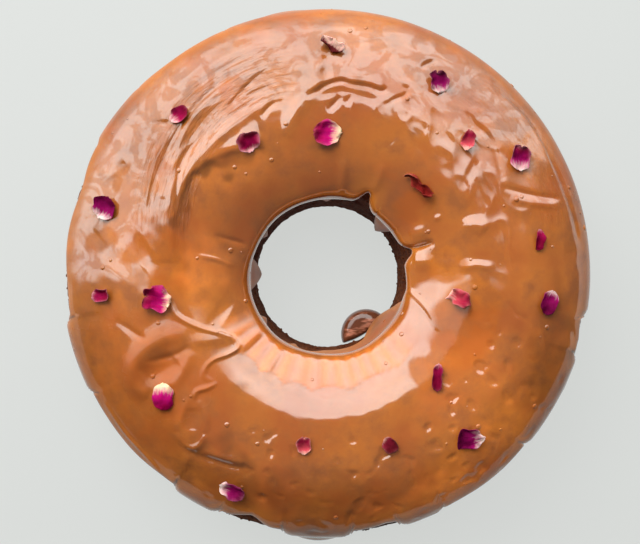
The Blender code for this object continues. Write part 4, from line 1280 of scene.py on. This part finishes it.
class CAKE_OT_petals(Operator):
    """Lay every rose petal on the icing"""

    bl_idname = "cake.petals"
    bl_label = "Rose petals"

    def execute(self, context):
        """Build the petals on the icing."""
        settings = context.scene.cake_petals
        ground_mesh = bpy.data.objects["icing_sheet"].data
        ground = BVHTree.FromPolygons(
            [vertex.co for vertex in ground_mesh.vertices],
            [tuple(face.vertices) for face in ground_mesh.polygons])
        materials = {name: petal_material(name, colours) for name, colours in PETAL_COLOURS.items()}
        for number, petal in enumerate(PETALS, 1):
            place, heading = petal[:2]
            tilt, pale, rim_pale, family = petal[7], *petal[10:]
            sheet, u, v = self.sheet(settings, number, *petal[2:7], *petal[8:10])
            normals = np.cross(np.gradient(sheet, axis=1), np.gradient(sheet, axis=0))
            normals /= np.linalg.norm(normals, axis=-1, keepdims=True)
            edge = np.maximum(np.abs(u), np.abs(2.0 * v - 1.0))
            thickness = settings.thickness + (settings.rim_thickness - settings.thickness) * edge ** 3
            offset = 0.5 * thickness[..., None] * normals
            points = np.concatenate([(sheet + offset).reshape(-1, 3), (sheet - offset).reshape(-1, 3)])
            points = self.lay(points, ground, place, heading, tilt)
            faces = self.faces(*u.shape)
            points[:, 2] += self.lift(points, ground, settings.gap)
            rim = rim_pale * np.clip(1.25 * edge ** 7, 0.0, 1.0)
            values = {
                "tipward": np.tile(v.reshape(-1), 2), "sideways": np.tile(u.reshape(-1) + number, 2),
                "rim": np.tile(rim.reshape(-1), 2), "pale_part": np.full(len(points), pale),
            }
            piece = add_mesh(f"rose_petal_{number:02d}", points, faces, materials[family], values)
            finish_piece(piece, f"petal_{number:02d}")
        return {"FINISHED"}

    @staticmethod
    def sheet(settings, number, long, wide, roll, bend, crumple, twist, notch):
        """Middle face of a petal in its own frame: base at minus y, tip at plus y, cupped upwards."""
        long, wide, crumple = long * MM, wide * MM, crumple * MM
        u, v = np.meshgrid(
            np.sin(0.5 * math.pi * np.linspace(-1.0, 1.0, settings.columns + 1)),
            0.5 + 0.5 * np.sin(0.5 * math.pi * np.linspace(-1.0, 1.0, settings.rows + 1)))
        phase = number * 1.7
        round_end = 1.0 - np.abs(2.0 * v ** 1.12 - 1.0) ** 2.5
        breadth = PETAL_END_WIDTH + (1.0 - PETAL_END_WIDTH) * np.clip(round_end, 0.0, 1.0) ** 0.45
        breadth = breadth * (1.0 + 0.06 * np.sin(9.0 * v + phase + 1.3 * np.sign(u)))
        side = u * breadth * wide * 0.5
        reach = (v - 0.5) * (1.0 + 0.10 * (1.0 - u * u)) * long
        reach = reach + 0.03 * long * np.sin(6.0 * u + phase) * (2.0 * v - 1.0) ** 3
        reach = reach - notch * long * np.exp(-((u - 0.1) / 0.3) ** 2) * v ** 3
        roll_radius = wide / math.radians(roll)
        bend_radius = long / math.radians(bend)
        x = roll_radius * np.sin(side / roll_radius)
        y = bend_radius * np.sin(reach / bend_radius)
        z = roll_radius * (1.0 - np.cos(side / roll_radius))
        z = z + bend_radius * (1.0 - np.cos(reach / bend_radius))
        edge = np.maximum(np.abs(u), np.abs(2.0 * v - 1.0)) ** 2
        flat = np.stack([side, reach, np.full_like(side, 10.0 * number * MM)], axis=-1).reshape(-1, 3)
        folds = [noise_at(flat, scale, number + shift).reshape(u.shape)
                 for scale, shift in ((290.0, 0.0), (290.0, 40.0), (290.0, 80.0), (850.0, 120.0))]
        amount = crumple * (0.45 + 0.75 * edge)
        x, y, z = x + 0.55 * amount * folds[0], y + 0.55 * amount * folds[1], z + 1.2 * amount * folds[2]
        z = z + settings.crinkle * (0.4 + edge) * 1.6 * folds[3]
        turn = math.radians(twist) * (v - 0.5)
        middle = 0.3 * wide
        sine, cosine = np.sin(turn), np.cos(turn)
        x, z = x * cosine - (z - middle) * sine, middle + x * sine + (z - middle) * cosine
        return np.stack([x, y, z], axis=-1), u, v

    @staticmethod
    def lay(points, ground, place, heading, tilt):
        """Turn a petal to its heading along the slope under it and bring it there."""
        down = Vector((0.0, 0.0, -1.0))
        hit, slope = ground.ray_cast(Vector((place[0] * MM, place[1] * MM, 1.0)), down)[:2]
        up = (slope + Vector((0.0, 0.0, 0.6))).normalized()
        tip = Vector((math.cos(math.radians(heading)), math.sin(math.radians(heading)), 0.0))
        tip = (tip - tip.dot(up) * up).normalized()
        sine, cosine = math.sin(math.radians(tilt)), math.cos(math.radians(tilt))
        tip, up = tip * cosine + up * sine, up * cosine - tip * sine
        points = points @ np.array([tip.cross(up), tip, up]) + np.array(hit)
        points[:, :2] += np.array(place) * MM - 0.5 * (points[:, :2].min(0) + points[:, :2].max(0))
        return points

    @staticmethod
    def lift(points, ground, gap):
        """Lift that brings a petal's lowest place just clear of the icing."""
        down = Vector((0.0, 0.0, -1.0))
        most = -1.0
        for x, y, z in points:
            hit = ground.ray_cast(Vector((x, y, 1.0)), down)[0]
            most = max(most, hit.z + gap - z)
        return most

    @staticmethod
    def faces(rows, columns):
        """Both faces and the rim of a gridded sheet with a thickness."""
        count = rows * columns
        faces = []
        for row in range(rows - 1):
            for column in range(columns - 1):
                a = row * columns + column
                b, c, d = a + 1, a + columns + 1, a + columns
                faces.append((a, b, c, d))
                faces.append((count + a, count + d, count + c, count + b))
        rim = list(range(columns))
        rim += [row * columns + columns - 1 for row in range(1, rows)]
        rim += [(rows - 1) * columns + column for column in range(columns - 2, -1, -1)]
        rim += [row * columns for row in range(rows - 2, 0, -1)]
        for index, here in enumerate(rim):
            there = rim[(index + 1) % len(rim)]
            faces.append((here, count + here, count + there, there))
        return faces


class CAKE_PT_panel(Panel):
    """The cake's steps and sizes"""

    bl_label = "Ring cake"
    bl_idname = "CAKE_PT_panel"
    bl_space_type = "VIEW_3D"
    bl_region_type = "UI"
    bl_category = "Cake"

    def draw(self, context):
        """List each step with its sizes."""
        for name, _, operators in STEPS:
            box = self.layout.box()
            for operator in operators:
                box.operator(operator.bl_idname)
            settings = getattr(context.scene, name)
            for key in settings.bl_rna.properties.keys():
                if key not in ("rna_type", "name"):
                    box.prop(settings, key)


STEPS = (
    ("cake_stage", StageSettings, (CAKE_OT_stage,)),
    ("cake_sponge", SpongeSettings, (CAKE_OT_sponge,)),
    ("cake_icing", IcingSettings, (CAKE_OT_icing, CAKE_OT_drop)),
    ("cake_petals", PetalSettings, (CAKE_OT_petals,)),
)


def register():
    """Register the settings, the steps and the panel."""
    for name, group, operators in STEPS:
        bpy.utils.register_class(group)
        setattr(bpy.types.Scene, name, PointerProperty(type=group))
        for operator in operators:
            bpy.utils.register_class(operator)
    bpy.utils.register_class(CAKE_PT_panel)


def unregister():
    """Take back what register added."""
    bpy.utils.unregister_class(CAKE_PT_panel)
    for name, group, operators in STEPS:
        for operator in operators:
            bpy.utils.unregister_class(operator)
        delattr(bpy.types.Scene, name)
        bpy.utils.unregister_class(group)


def main():
    """Register the steps and make every piece in order."""
    register()
    bpy.ops.cake.stage()
    bpy.ops.cake.sponge()
    bpy.ops.cake.icing()
    bpy.ops.cake.drop()
    bpy.ops.cake.petals()


if __name__ == "__main__":
    main()
